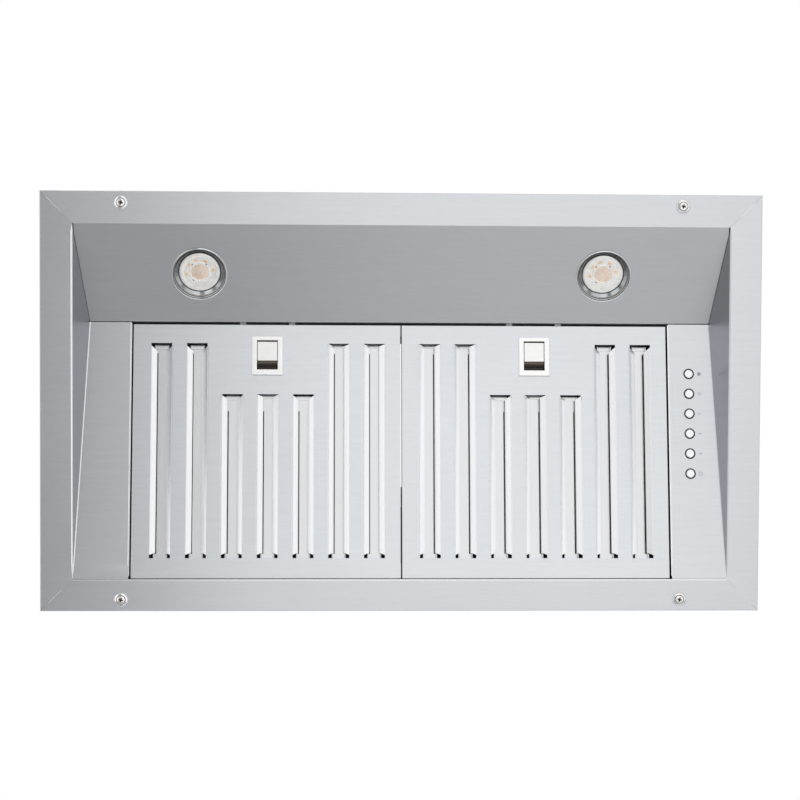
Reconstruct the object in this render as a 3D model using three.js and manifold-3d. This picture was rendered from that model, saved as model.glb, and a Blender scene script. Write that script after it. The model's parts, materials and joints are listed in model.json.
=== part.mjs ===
// Range hood insert, seen from below when it hangs in its cabinet. Millimetres, +Z up.
// Origin: centre of the rim, in the plane of its lower face. +X is the cook's right, +Y the wall behind.
import * as THREE from "three";
import { ConvexGeometry } from "three/addons/geometries/ConvexGeometry.js";
import { mergeVertices } from "three/addons/utils/BufferGeometryUtils.js";
import Module from "manifold-3d";

const wasm = await Module();
wasm.setup();

// ---------------------------------------------------------------- driving dimensions
const SHEET = 1; // every folded steel sheet
const GAP = 0.3; // clearance between neighbours that touch on the real hood
const FINE = 24; // facets of a wide turned piece
const COARSE = 12; // facets of a small or inner turned piece
const PLAIN = 8; // facets of a pin, post or small hole
const PAST = 9; // how far a cutting tool runs past a sheet
const FAR = 99; // and past a tall piece
const SUNK = 0.2; // how far two halves of one piece run into each other

// Rim and recess
const RIM_WIDTH = 724;
const RIM_DEPTH = 420;
const RIM_STRIP = 32.4; // width of the flat frame
const HEM = 8; // outer edge folded flat on top of the strip
const RECESS_HEIGHT = 43.6; // from the rim up to the line where lamps' panel and filters meet
const LIGHT_RUN = 98; // depth of the lamps' panel in plan
const SIDE_LEAN = 13.5; // how far the side walls lean in at that line
const TRIM_WIDTH = 42; // side trim at its narrow end
const TRIM_FOLD = 15; // upstand along the trim's inner edge
const LEDGE_HEIGHT = 16; // upstand behind the lamps' panel, which carries the latches

// Rim screws
const SCREW_END = 80.7; // from the rim's left or right edge
const SCREW_INSET = 11.7; // from the rim's front or rear edge
const SCREW_LENGTH = 16;
const SCREW_POINT = 4;
const SHANK_R = 2;
const SCREW_HOLE_R = 2.4;
const HEAD_R = 4.3;
const HEAD_PROUD = 3.2; // below the rim
const CONE_LEVEL = 0.8; // below the rim, where the head's cone ends
const CROSS_REACH = 2.2;
const CROSS_WIDTH = 0.9;
const CROSS_DEPTH = 1.1;
const WASHER_R = 7;
const WASHER_BORE_R = 2.6;
const WASHER_PROUD = 2.3;

// Casing
const CASING_HEIGHT = 262;
const CASING_INSET_X = 22; // from the rim's outer edge to the casing's
const CASING_INSET_Y = 23;
const FOOT = 6; // foot flange that is spot-welded to the rim
const CORNER_FOLD = 14;
const LID_SKIRT = 12;

// Filters
const FILTER_GAP = 2; // shadow gap round the pair of filters
const MIDDLE_GAP = 0.8; // between the two filters
const FILTER_HEIGHT = 13;
const FILTER_TONGUE = 3.5; // how far the rear edge lies on the rim
const SLOT_WIDTH = 21;
const SLOT_PITCH = 36;
const SLOT_MARGIN = 14; // least plain border beside the outer slots
const SLOT_SHIFT = 0.9; // the pattern sits this far right of the middle
const SLOT_FRONT = 21.3; // front end of a long slot, from the recess's deep line
const SLOT_FRONT_SHORT = 73.5; // front end of a slot behind the latch
const SLOT_REAR = 21; // plain border behind the slots
const SLOT_CLEAR = 4; // between the latch's crossbar and a long slot
const LIP_RUN = 5.4; // folded lips along a slot, at 45 degrees
const LIP_CHAMFER = 5;
const LIP_SHEET = 0.9;
const BAFFLE_LEVEL = 11; // underside of the back baffle over the face
const CHANNEL_WIDTH = 14.4; // of the back baffle's channel over each slot
const CHANNEL_WALL = 4.5; // how far its sides hang down
const CHANNEL_FRONT = 1.1; // its front end lies this far behind the slot's
const CHANNEL_GAP = 3; // and this much is cut out before it
const PAN_BORDER = 4; // plain border inside the baffle's side walls

// Latches
const BEZEL_WIDTH = 31.4;
const BEZEL_LENGTH = 40;
const BEZEL_Y = 34; // middle of the latch, from the deep line
const BEZEL_PROUD = 1;
const WINDOW_WIDTH = 20.9;
const WINDOW_LENGTH = 29.7;
const WINDOW_FRAME = 4.4; // bezel in front of the window
const BEZEL_LAP = 2; // bezel outside the face's hole
const COLLAR_TOP = 2.6; // collar of the bezel inside that hole
const THUMB_LENGTH = 20.5;
const CARRIAGE_WIDTH = 24;
const CARRIAGE_LEVEL = 3.1;
const CARRIAGE_SHEET = 1.6;
const LATCH_TRAVEL = 6;
const PRONG_WIDTH = 6.6;
const PRONG_X = 25;
const PRONG_REACH = 2.8; // past the deep line, over the ledge
const CROSSBAR_FRONT = 9;
const CROSSBAR_REAR = 15.5;
const CLIP_FRONT = 26;
const CLIP_REAR = 48;
const CLIP_SHEET = 1;
const CLIP_GRIP = 2; // over the carriage's edge
const TAB_HALF = 4; // the two tabs that hold the spring
const TAB_SHEET = 1.4;
const TAB_HEIGHT = 5;
const SPRING_R = 1.9;
const SPRING_WIRE_R = 0.35;
const SPRING_TURNS = 6;

// Lamps
const LAMP_END = 125.2; // from the recess's left or right edge
const LAMP_Y = 54; // up the panel from the rim
const BULB_R = 24.2;
const BULB_RIM = 3.2; // round the lens
const LENS_LEVEL = 2.4; // above the lamp's hole
const BULB_LENGTH = 44;
const PIN_X = 5;
const PIN_R = 1.5;
const PIN_LENGTH = 7;
const SOCKET_R = 15;
const SOCKET_LENGTH = 18;
const RING_SHEET = 0.4;
const RING_WALL = 1.2; // of the trim ring's collar
const RING_LAP = 2.2; // trim ring outside the lamp's hole
const RING_COLLAR = 9;

// Push buttons
const BUTTON_COUNT = 6;
const BUTTON_INSET = 20.8; // from the trim's inner edge
const BUTTON_FIRST = 51.4; // from the deep line
const BUTTON_PITCH = 20.5;
const BUTTON_R = 4.3;
const BUTTON_HOLE_R = 5.5;
const BUTTON_WALL = 0.6; // guide tube
const BUTTON_PROUD = 1.2;
const BUTTON_TRAVEL = 1.5;
const GUIDE_TOP = 8;
const SHOULDER = 1.2;
const STEM_R = 1.5;
const SWITCH_HEIGHT = 1.5;
const SWITCH_SIDE = 6;
const STEM_LENGTH = 1.2;
const BOARD_SHEET = 1.6;
const BOARD_INSET = 2;
const PANEL_BOX_WIDTH = 34;
const PANEL_BOX_END = 14; // box beyond the outer buttons
const PANEL_BOX_WALL = 1.5;
const POST_R = 2.2;
const POST_INSET = 5;

// Blower
const SCROLL_Y = -6;
const SCROLL_START_R = 84;
const SCROLL_GROWTH = 34;
const SCROLL_TONGUE = 80; // degrees, where the spiral starts
const SCROLL_HALF = 48; // inner half width
const SCROLL_SHEET = 1.2;
const SCROLL_HEADROOM = 6; // between the spiral's start and the lid
const OUTLET_FLANGE = 12;
const WHEEL_CLEAR = 9; // between the wheel and the spiral's start
const BLADE_DEPTH = 15;
const INLET_LAP = 2; // the scroll's inlet is this far outside the blades' inner edge
const INLET_RUN = 9; // width of the inlet ring's bellmouth
const WHEEL_HALF = 45;
const WHEEL_BLADES = 20;
const WHEEL_DISC = 1.6;
const RING_WIDTH = 8;
const RING_EDGE = 1.5;
const BLADE_SHEET = 1;
const BLADE_SWEEP = 0.16; // radians from root to tip
const HUB_R = 11;
const HUB_HALF = 10;
const SHAFT_R = 4;
const MOTOR_CLEAR = 13; // between the motor and the inlet's throat
const MOTOR_FRONT = -14;
const MOTOR_LENGTH = 70;
const BOSS_R = 14;
const BRACKET_DROP = 18; // from the scroll's side to the ring
const BRACKET_BAND = 8;
const BRACKET_WALL = 4;
const ARM_SPREAD = 15; // from the scroll's inlet to the bracket's feet
const ARM_WIDTH = 14;
const ARM_SHEET = 2;
const ARM_FOOT = 12;

// Duct collar and damper
const COLLAR_R = 75;
const COLLAR_HEIGHT = 54;
const COLLAR_BASE = 172;
const BEAD_DROP = 14; // from the collar's top
const BEAD_PROUD = 1.6;
const LUG_REACH = 8;
const LUG_WIDTH = 8;
const LUG_HEIGHT = 2;
const LUG_TURN = 0.6; // radians from the wall's middle
const ROD_R = 2;
const ROD_LEVEL = 22; // over the collar's base
const FLAP_CLEAR = 2; // round the flaps
const FLAP_SHEET = 0.8;
const KNUCKLE_R = 3.3;
const KNUCKLE_WIDTH = 12;
const KNUCKLES_FRONT = [-46, 46]; // their middles along the rod
const KNUCKLES_REAR = [-32, 32];

// Electrical parts
const BOX_SIZE = new THREE.Vector3(110, 68, 56);
const BOX_END = 40; // from the casing's left side
const BOX_BACK = 8; // from the casing's rear wall
const COVER_SKIRT = 7;
const BLOCK_WIDTH = 16;
const BLOCK_LENGTH = 48;
const BLOCK_HEIGHT = 12;
const BLOCK_WAYS = [-18, -6, 6, 18];
const BUSH_HOLE_R = 10;
const BUSH_BORE_R = 5;
const CAPACITOR_R = 18;
const CAPACITOR_LENGTH = 62;
const CAPACITOR_CLEAR = 90; // from the scroll's side
const STRAP_FROM = 24;
const STRAP_TO = 36;
const STRAP_HALF = 30;
const DRIVER_SIZE = new THREE.Vector3(120, 30, 28);
const DRIVER_DROP = 110; // from the casing's top
const EAR_WIDTH = 10;
const EAR_SHEET = 2;
const LOOM_R = 2.5;
const LOOM_DROP = 122;
const LOOM_WALL = 14; // from the casing's walls

// ---------------------------------------------------------------- derived places
const IN_X = RIM_WIDTH / 2 - RIM_STRIP;
const IN_Y = RIM_DEPTH / 2 - RIM_STRIP;
const DEEP_Y = LIGHT_RUN - IN_Y;
const DEEP_X = IN_X - SIDE_LEAN;
const FILTER_ANGLE = Math.atan2(RECESS_HEIGHT, IN_Y - DEEP_Y);
const LIGHT_ANGLE = Math.atan2(RECESS_HEIGHT, LIGHT_RUN);
const SIDE_ANGLE = Math.atan2(SIDE_LEAN, RECESS_HEIGHT);
const FILTER_RUN = Math.hypot(RECESS_HEIGHT, IN_Y - DEEP_Y);
const OPENING_X = DEEP_X - TRIM_WIDTH;
const FILTER_WIDTH = OPENING_X - FILTER_GAP - MIDDLE_GAP / 2;
const FILTER_X = OPENING_X - FILTER_GAP - FILTER_WIDTH / 2;
const FILTER_END = FILTER_RUN + FILTER_TONGUE;
const FILTER_LIFT = (SHEET + GAP) / Math.cos(FILTER_ANGLE) + FILTER_TONGUE * Math.tan(FILTER_ANGLE);
const LAMP_X = IN_X - LAMP_END;
const LAMP_HOLE_R = BULB_R + RING_WALL + 2 * GAP;
const LAMP_RING_R = LAMP_HOLE_R + RING_LAP;
const LENS_R = BULB_R - BULB_RIM;
const BUTTON_X = OPENING_X + BUTTON_INSET;
const SCREW_X = RIM_WIDTH / 2 - SCREW_END;
const CASING_X = RIM_WIDTH / 2 - CASING_INSET_X;
const CASING_Y = RIM_DEPTH / 2 - CASING_INSET_Y;
const SCREW_Y = RIM_DEPTH / 2 - SCREW_INSET;
const SCROLL_Z = CASING_HEIGHT - SCROLL_HEADROOM - SCROLL_START_R;
const SCROLL_END_R = SCROLL_START_R + SCROLL_GROWTH;
const WHEEL_R = SCROLL_START_R - WHEEL_CLEAR;
const WHEEL_INNER_R = WHEEL_R - BLADE_DEPTH;
const INLET_R = WHEEL_INNER_R + INLET_LAP;
const THROAT_R = INLET_R - INLET_RUN;
const MOTOR_R = THROAT_R - MOTOR_CLEAR;
const ARM_REACH = INLET_R + ARM_SPREAD;
const OUTLET_FRONT = SCROLL_Y + SCROLL_START_R * Math.cos(THREE.MathUtils.degToRad(SCROLL_TONGUE));
const OUTLET_REAR = SCROLL_Y + SCROLL_END_R;
const OUTLET_Y = (OUTLET_FRONT + OUTLET_REAR) / 2;
const LID_TOP = CASING_HEIGHT + SHEET;
const COLLAR_Z = LID_TOP + GAP;
const ROD_Z = COLLAR_Z + SHEET + ROD_LEVEL;
const PRONG_LEVEL = FILTER_LIFT + CARRIAGE_LEVEL;
const CARRIAGE_TOP = CARRIAGE_LEVEL + CARRIAGE_SHEET;
const WINDOW_Y = BEZEL_Y - BEZEL_LENGTH / 2 + WINDOW_FRAME;
const STOP_Y = BEZEL_Y + BEZEL_LENGTH / 2 - BEZEL_LAP - GAP - TAB_SHEET;
const BOX_LEFT = -CASING_X + BOX_END;
const BOX_REAR = CASING_Y - SHEET - BOX_BACK;
const BOX_MIDDLE = BOX_REAR - BOX_SIZE.y / 2;

// ---------------------------------------------------------------- frames
// Turned about X and set at a point: local +Y runs along a sloping panel, local +Z stands on it.
const slopeFrame = (angle, y, z) => new THREE.Matrix4().makeRotationX(angle).setPosition(0, y, z);
const LIGHT_FRAME = slopeFrame(LIGHT_ANGLE, -IN_Y, 0);
const FILTER_FRAME = slopeFrame(-FILTER_ANGLE, DEEP_Y, RECESS_HEIGHT);
// local X, Y, Z = world Y, Z, X: an outline in side view, extruded across the hood
const ACROSS = new THREE.Matrix4().makeBasis(
  new THREE.Vector3(0, 1, 0),
  new THREE.Vector3(0, 0, 1),
  new THREE.Vector3(1, 0, 0),
);
// the blower's axis: local Z along world X, through the middle of the wheel
const WHEEL_FRAME = new THREE.Matrix4().makeTranslation(0, SCROLL_Y, SCROLL_Z).multiply(ACROSS);
const moved = (x, y, z = 0) => new THREE.Matrix4().makeTranslation(x, y, z);
const framed = (frame, x, y, z = 0) => frame.clone().multiply(moved(x, y, z));
const spun = (angle) => new THREE.Matrix4().makeRotationZ(angle);

// ---------------------------------------------------------------- solids
function solid(geometry, frame) {
  const source = geometry.index ? geometry.toNonIndexed() : geometry;
  const bare = new THREE.BufferGeometry().setAttribute("position", source.getAttribute("position").clone());
  const merged = mergeVertices(frame ? bare.applyMatrix4(frame) : bare, 1e-4);
  const faces = [];
  for (let i = 0; i < merged.index.count; i += 3) {
    const [a, b, c] = merged.index.array.slice(i, i + 3);
    if (a !== b && b !== c && c !== a) faces.push(a, b, c); // a lathe's pole leaves empty triangles
  }
  return new wasm.Manifold(new wasm.Mesh({
    numProp: 3,
    vertProperties: merged.attributes.position.array,
    triVerts: new Uint32Array(faces),
  }));
}
const join = (...parts) => parts.flat().reduce((sum, part) => sum.add(part));
const cut = (body, ...tools) => tools.flat().reduce((rest, tool) => rest.subtract(tool), body);
const SIDES = [-1, 1];

// A box between two corners. Its planes are set exactly, so that boxes of one piece share them.
function box([x0, y0, z0], [x1, y1, z1], frame) {
  const geometry = new THREE.BoxGeometry();
  const corner = geometry.getAttribute("position");
  for (let i = 0; i < corner.count; i++) {
    const [x, y, z] = [corner.getX(i), corner.getY(i), corner.getZ(i)];
    corner.setXYZ(i, x < 0 ? x0 : x1, y < 0 ? y0 : y1, z < 0 ? z0 : z1);
  }
  return solid(geometry, frame);
}
// The same, from corners in any order, on the left (s = -1) or right of the middle plane.
function sideBox(s, [x0, y0, z0], [x1, y1, z1], frame) {
  return box([Math.min(s * x0, s * x1), y0, z0], [Math.max(s * x0, s * x1), y1, z1], frame);
}
// An outline [[x, y], ...] raised from z0 to z1.
function slab(outline, z0, z1, frame) {
  const shape = new THREE.Shape(outline.map(([x, y]) => new THREE.Vector2(x, y)));
  const geometry = new THREE.ExtrudeGeometry(shape, { depth: z1 - z0, bevelEnabled: false });
  return solid(geometry.translate(0, 0, z0), frame);
}
// A profile [[r, z], ...] turned about Z; it starts and ends on the axis, or closes on itself.
function turned(profile, segments = FINE, frame) {
  const points = profile.map(([r, z]) => new THREE.Vector2(r, z));
  if (profile[0][0] > 0) points.push(points[0].clone());
  return solid(new THREE.LatheGeometry(points, segments).rotateX(Math.PI / 2), frame);
}
const rod = (r, z0, z1, segments, frame) => turned([[0, z0], [r, z0], [r, z1], [0, z1]], segments, frame);
const pipe = (r, R, z0, z1, segments, frame) => turned([[r, z0], [R, z0], [R, z1], [r, z1]], segments, frame);
const rectangle = (x, y) => [[-x, -y], [x, -y], [x, y], [-x, y]];

// A round wire along a smooth path.
function wire(points, radius, steps) {
  const path = new THREE.CatmullRomCurve3(points.map((p) => new THREE.Vector3(...p)), false, "centripetal");
  return sweep(path, radius, steps);
}
function sweep(path, radius, steps, sides = 6) {
  const section = new THREE.Shape();
  for (let i = 0; i < sides; i++) {
    const turn = (2 * Math.PI * i) / sides;
    section[i ? "lineTo" : "moveTo"](radius * Math.cos(turn), radius * Math.sin(turn));
  }
  return solid(new THREE.ExtrudeGeometry(section, { steps, bevelEnabled: false, extrudePath: path }));
}

// ---------------------------------------------------------------- materials
const finish = (color, roughness, metalness) =>
  new THREE.MeshStandardMaterial({ color, roughness, metalness });
const BRUSHED = finish(0xc9ccd0, 0.34, 1);
const GALVANISED = finish(0xa9adb1, 0.5, 0.9);
const CHROME = finish(0xe4e6e8, 0.15, 1);
const NICKEL = finish(0xd8d8d4, 0.25, 1);
const DARK_STEEL = finish(0x4a4c50, 0.45, 0.9);
const BLACK_PLASTIC = finish(0x1d1e20, 0.55, 0);
const WHITE_PLASTIC = finish(0xe8e8e4, 0.45, 0);
const LENS = finish(0xe6dccf, 0.2, 0);
const BOARD_GREEN = finish(0x1f5a3a, 0.5, 0);
const CABLE_GREY = finish(0x3a3b3e, 0.6, 0);

const hood = new THREE.Group();
function add(name, body, material) {
  const { vertProperties, triVerts } = body.getMesh();
  const geometry = new THREE.BufferGeometry();
  geometry.setAttribute("position", new THREE.BufferAttribute(Float32Array.from(vertProperties), 3));
  geometry.setIndex(new THREE.BufferAttribute(Uint32Array.from(triVerts), 1));
  geometry.computeVertexNormals();
  const mesh = new THREE.Mesh(geometry, material);
  mesh.name = name;
  hood.add(mesh);
}

// ---------------------------------------------------------------- rim and recess
// The wedge of air under the lamps' panel, the filters and the side walls, grown outwards by a sheet.
function wedge(grown, bottom) {
  const side = IN_X + grown / Math.cos(SIDE_ANGLE) - bottom * Math.tan(SIDE_ANGLE);
  const front = -IN_Y - grown / Math.sin(LIGHT_ANGLE) + bottom / Math.tan(LIGHT_ANGLE);
  const rear = IN_Y + grown / Math.sin(FILTER_ANGLE) - bottom / Math.tan(FILTER_ANGLE);
  const rise = (rear - front) / (1 / Math.tan(LIGHT_ANGLE) + 1 / Math.tan(FILTER_ANGLE));
  const ridge = { x: side - rise * Math.tan(SIDE_ANGLE), y: front + rise / Math.tan(LIGHT_ANGLE) };
  const corners = [];
  for (const s of SIDES) {
    corners.push(new THREE.Vector3(s * side, front, bottom));
    corners.push(new THREE.Vector3(s * side, rear, bottom));
    corners.push(new THREE.Vector3(s * ridge.x, ridge.y, bottom + rise));
  }
  return solid(new ConvexGeometry(corners));
}

// Rim and recess in one skin, before it is parted into its four folded sheets.
function linerSkin() {
  const rim = slab(rectangle(RIM_WIDTH / 2, RIM_DEPTH / 2), 0, SHEET);
  const hemOuter = slab(rectangle(RIM_WIDTH / 2, RIM_DEPTH / 2), SHEET / 2, 2 * SHEET);
  const hemInner = slab(rectangle(RIM_WIDTH / 2 - HEM, RIM_DEPTH / 2 - HEM), 0, 3 * SHEET);
  const skin = join(rim, cut(hemOuter, hemInner), wedge(SHEET, 0));
  const mouth = box([-OPENING_X, DEEP_Y, -SHEET], [OPENING_X, IN_Y, 2 * RECESS_HEIGHT]);
  const throat = slab(rectangle(IN_X, IN_Y), -SHEET, SHEET / 2);
  const holes = SIDES.flatMap((sx) => SIDES.map((sy) =>
    rod(SCREW_HOLE_R, -SHEET, 3 * SHEET, COARSE, moved(sx * SCREW_X, sy * SCREW_Y))));
  return cut(skin, wedge(0, -SHEET), throat, mouth, holes);
}

// A saw cut in plan, one clearance wide, along the seam between two sheets.
function seam([x0, y0], [x1, y1]) {
  const length = Math.hypot(x1 - x0, y1 - y0);
  const place = new THREE.Matrix4().makeRotationZ(Math.atan2(y1 - y0, x1 - x0)).setPosition(x0, y0, 0);
  return box([-1, -GAP / 2, -PAST], [length + 1, GAP / 2, FAR], place);
}

function linerSheets() {
  const skin = linerSkin();
  const outer = (sx, sy) => [sx * RIM_WIDTH / 2, sy * RIM_DEPTH / 2];
  const inner = (sx, sy) => [sx * IN_X, sy * IN_Y];
  const deep = (sx) => [sx * DEEP_X, DEEP_Y];
  const seams = SIDES.flatMap((sx) => [
    seam(outer(sx, -1), inner(sx, -1)), seam(outer(sx, 1), inner(sx, 1)),
    seam(inner(sx, -1), deep(sx)), seam(deep(sx), [0, DEEP_Y]), seam(inner(sx, 1), [0, IN_Y])]);
  const sheet = (outline) => cut(skin.intersect(slab(outline, -SHEET, FAR)), seams);
  const side = (sx) => {
    const outline = [outer(sx, -1), outer(sx, 1), inner(sx, 1), [sx * OPENING_X / 2, IN_Y],
      [sx * OPENING_X / 2, DEEP_Y], deep(sx), inner(sx, -1)];
    return sheet(sx > 0 ? outline : outline.reverse());
  };
  return {
    front: sheet([outer(-1, -1), outer(1, -1), inner(1, -1), deep(1), deep(-1), inner(-1, -1)]),
    rear: sheet([outer(1, 1), outer(-1, 1), inner(-1, 1), inner(1, 1)]),
    left: side(-1),
    right: side(1),
  };
}

// Front sheet: rim strip, lamps' panel and the ledge whose slots hold the latch prongs.
function frontPanel(sheet) {
  const ledge = box([SHEET - DEEP_X, -GAP - SHEET, SUNK], [DEEP_X - SHEET, -GAP, LEDGE_HEIGHT], FILTER_FRAME);
  const slots = prongPlaces().map((x) => box(
    [x - PRONG_WIDTH / 2 - 2 * GAP, -3 * SHEET, PRONG_LEVEL - GAP],
    [x + PRONG_WIDTH / 2 + 2 * GAP, SHEET, PRONG_LEVEL + CARRIAGE_SHEET + GAP], FILTER_FRAME));
  const lamps = SIDES.map((s) =>
    rod(LAMP_HOLE_R, -PAST, PAST, FINE, framed(LIGHT_FRAME, s * LAMP_X, LAMP_Y)));
  return cut(join(sheet, ledge), slots, lamps);
}
const prongPlaces = () => SIDES.flatMap((s) => SIDES.map((t) => s * FILTER_X + t * PRONG_X));

function sidePanel(sheet, s) {
  const end = [OPENING_X + SHEET, FILTER_RUN - TRIM_FOLD, TRIM_FOLD];
  return join(sheet, sideBox(s, [OPENING_X, GAP, SUNK], end, FILTER_FRAME));
}
const buttonPlaces = () => Array.from({ length: BUTTON_COUNT }, (_, i) => BUTTON_FIRST + i * BUTTON_PITCH);

function addLiner() {
  const sheets = linerSheets();
  const buttonHoles = buttonPlaces().map((y) =>
    rod(BUTTON_HOLE_R, -PAST, PAST, FINE, framed(FILTER_FRAME, BUTTON_X, y)));
  add("front_panel", frontPanel(sheets.front), BRUSHED);
  add("left_panel", sidePanel(sheets.left, -1), BRUSHED);
  add("right_panel", cut(sidePanel(sheets.right, 1), buttonHoles), BRUSHED);
  add("rear_panel", sheets.rear, BRUSHED);
}

// ---------------------------------------------------------------- rim screws
function rimScrew() {
  const body = turned([[0, -HEAD_PROUD], [HEAD_R / 2, 0.1 - HEAD_PROUD], [HEAD_R - 0.3, 0.4 - HEAD_PROUD],
    [HEAD_R, 0.75 - HEAD_PROUD], [SHANK_R, -CONE_LEVEL], [SHANK_R, SCREW_LENGTH - SCREW_POINT],
    [0.4, SCREW_LENGTH], [0, SCREW_LENGTH]], COARSE);
  const arm = (x, y) => box([-x, -y, -2 * HEAD_PROUD], [x, y, CROSS_DEPTH - HEAD_PROUD]);
  return cut(body, arm(CROSS_REACH, CROSS_WIDTH / 2), arm(CROSS_WIDTH / 2, CROSS_REACH));
}
// Cup washer: a raised ring that slopes down to its bore and its edge.
function rimWasher() {
  const crest = (HEAD_R + WASHER_R) / 2;
  return turned([[WASHER_BORE_R, -0.7], [crest - 0.8, -WASHER_PROUD], [crest + 0.6, 0.4 - WASHER_PROUD],
    [WASHER_R, -0.9], [WASHER_R, -GAP], [WASHER_BORE_R, -GAP]], COARSE);
}
function addScrews() {
  const corners = { front_left: [-1, -1], front_right: [1, -1], rear_left: [-1, 1], rear_right: [1, 1] };
  for (const [corner, [sx, sy]] of Object.entries(corners)) {
    const place = [sx * SCREW_X, sy * SCREW_Y, 0];
    add("rim_screw_" + corner, rimScrew().translate(place), NICKEL);
    add("rim_washer_" + corner, rimWasher().translate(place), NICKEL);
  }
}

// ---------------------------------------------------------------- casing
const WALL_FOOT = SHEET + GAP;
const WALL_TOP = CASING_HEIGHT - GAP;

// Front or rear wall with its foot turned outwards.
function endWall(s) {
  const inner = CASING_Y - SHEET;
  const outline = [[CASING_Y, WALL_FOOT], [CASING_Y + FOOT, WALL_FOOT], [CASING_Y + FOOT, WALL_FOOT + SHEET],
    [CASING_Y, WALL_FOOT + SHEET], [CASING_Y, WALL_TOP], [inner, WALL_TOP], [inner, WALL_FOOT]];
  return slab(outline.map(([y, z]) => [s * y, z]), -CASING_X, CASING_X, ACROSS);
}
// Left or right wall with its foot and two corner folds.
function sideWall(s) {
  const end = CASING_Y - SHEET - GAP;
  const span = (width, y0, y1, z0, z1) => sideBox(s, [CASING_X - width, y0, z0], [CASING_X, y1, z1]);
  return join(
    span(SHEET, -end, end, WALL_FOOT, WALL_TOP),
    span(CORNER_FOLD, -end, SHEET - end, WALL_FOOT + SHEET, WALL_TOP),
    span(CORNER_FOLD, end - SHEET, end, WALL_FOOT + SHEET, WALL_TOP),
    sideBox(s, [CASING_X - SHEET, -end, WALL_FOOT], [CASING_X + FOOT, end, WALL_FOOT + SHEET]));
}
function casingLid() {
  const x = CASING_X + GAP + SHEET;
  const y = CASING_Y + GAP + SHEET;
  const tray = cut(box([-x, -y, LID_TOP - LID_SKIRT], [x, y, LID_TOP]),
    box([SHEET - x, SHEET - y, 0], [x - SHEET, y - SHEET, CASING_HEIGHT]));
  const outlet = box([-SCROLL_HALF, OUTLET_FRONT + SCROLL_SHEET, 0],
    [SCROLL_HALF, OUTLET_REAR - SCROLL_SHEET, LID_TOP + SHEET]);
  return cut(tray, outlet, rod(BUSH_HOLE_R, 0, LID_TOP + SHEET, FINE, bushPlace(0)));
}
function addCasing() {
  add("casing_front", endWall(-1), GALVANISED);
  add("casing_rear", endWall(1), GALVANISED);
  add("casing_left", sideWall(-1), GALVANISED);
  add("casing_right", sideWall(1), GALVANISED);
  add("casing_lid", casingLid(), GALVANISED);
}

// ---------------------------------------------------------------- duct collar and damper
const rodFrame = () => new THREE.Matrix4().makeRotationY(Math.PI / 2).setPosition(0, OUTLET_Y, ROD_Z);

// Beaded tube on a square base, with four lugs that stop the flaps level.
function ductCollar() {
  const R = COLLAR_R;
  const r = R - SHEET;
  const top = COLLAR_Z + SHEET + COLLAR_HEIGHT;
  const bead = top - BEAD_DROP;
  const place = moved(0, OUTLET_Y);
  const tube = turned([[r, COLLAR_Z], [R, COLLAR_Z], [R, bead - 3], [R + BEAD_PROUD, bead - 1],
    [R + BEAD_PROUD, bead + 1], [R, bead + 3], [R, top], [r, top]], FINE, place);
  const half = COLLAR_BASE / 2;
  const base = cut(box([-half, OUTLET_Y - half, COLLAR_Z], [half, OUTLET_Y + half, COLLAR_Z + SHEET]),
    rod(r, 0, top, FINE, place));
  const lugTop = ROD_Z - FLAP_SHEET / 2 - GAP;
  const lugs = SIDES.flatMap((s) => [-LUG_TURN, LUG_TURN].map((turn) =>
    box([r - LUG_REACH, -LUG_WIDTH / 2, lugTop - LUG_HEIGHT], [r + SHEET / 2, LUG_WIDTH / 2, lugTop],
      place.clone().multiply(spun((s * Math.PI) / 2 + turn)))));
  const pivots = rod(ROD_R + GAP, -2 * R, 2 * R, COARSE, rodFrame());
  return cut(join(tube, base, lugs), pivots);
}
// Half a disc on one side of the rod, with knuckles that curl round it.
function damperFlap(s, knuckles) {
  const R = COLLAR_R - SHEET - FLAP_CLEAR;
  const steps = 24;
  const edge = KNUCKLE_R + 2 * GAP;
  const from = Math.asin(edge / R);
  const outline = Array.from({ length: steps + 1 }, (_, i) => {
    const turn = from + (i * (Math.PI - 2 * from)) / steps;
    return [R * Math.cos(turn), s * R * Math.sin(turn)];
  });
  const place = moved(0, OUTLET_Y, ROD_Z);
  const leaf = slab(s > 0 ? outline : outline.reverse(), -FLAP_SHEET / 2, FLAP_SHEET / 2, place);
  const ears = knuckles.flatMap((x) => {
    const [x0, x1] = [x - KNUCKLE_WIDTH / 2, x + KNUCKLE_WIDTH / 2];
    const neck = [s * (ROD_R + 0.8), s * (edge + 1)].sort((a, b) => a - b);
    return [
      pipe(ROD_R + GAP, KNUCKLE_R, x0, x1, COARSE, rodFrame()),
      box([x0, neck[0], -FLAP_SHEET / 2], [x1, neck[1], FLAP_SHEET / 2], place),
    ];
  });
  return cut(join(leaf, ears), rod(ROD_R + GAP, -2 * R, 2 * R, COARSE, rodFrame()));
}
function addDuct() {
  add("duct_collar", ductCollar(), GALVANISED);
  add("damper_rod", rod(ROD_R, -COLLAR_R - 3, COLLAR_R + 3, COARSE, rodFrame()), NICKEL);
  add("damper_flap_front", damperFlap(-1, KNUCKLES_FRONT), GALVANISED);
  add("damper_flap_rear", damperFlap(1, KNUCKLES_REAR), GALVANISED);
}

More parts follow.
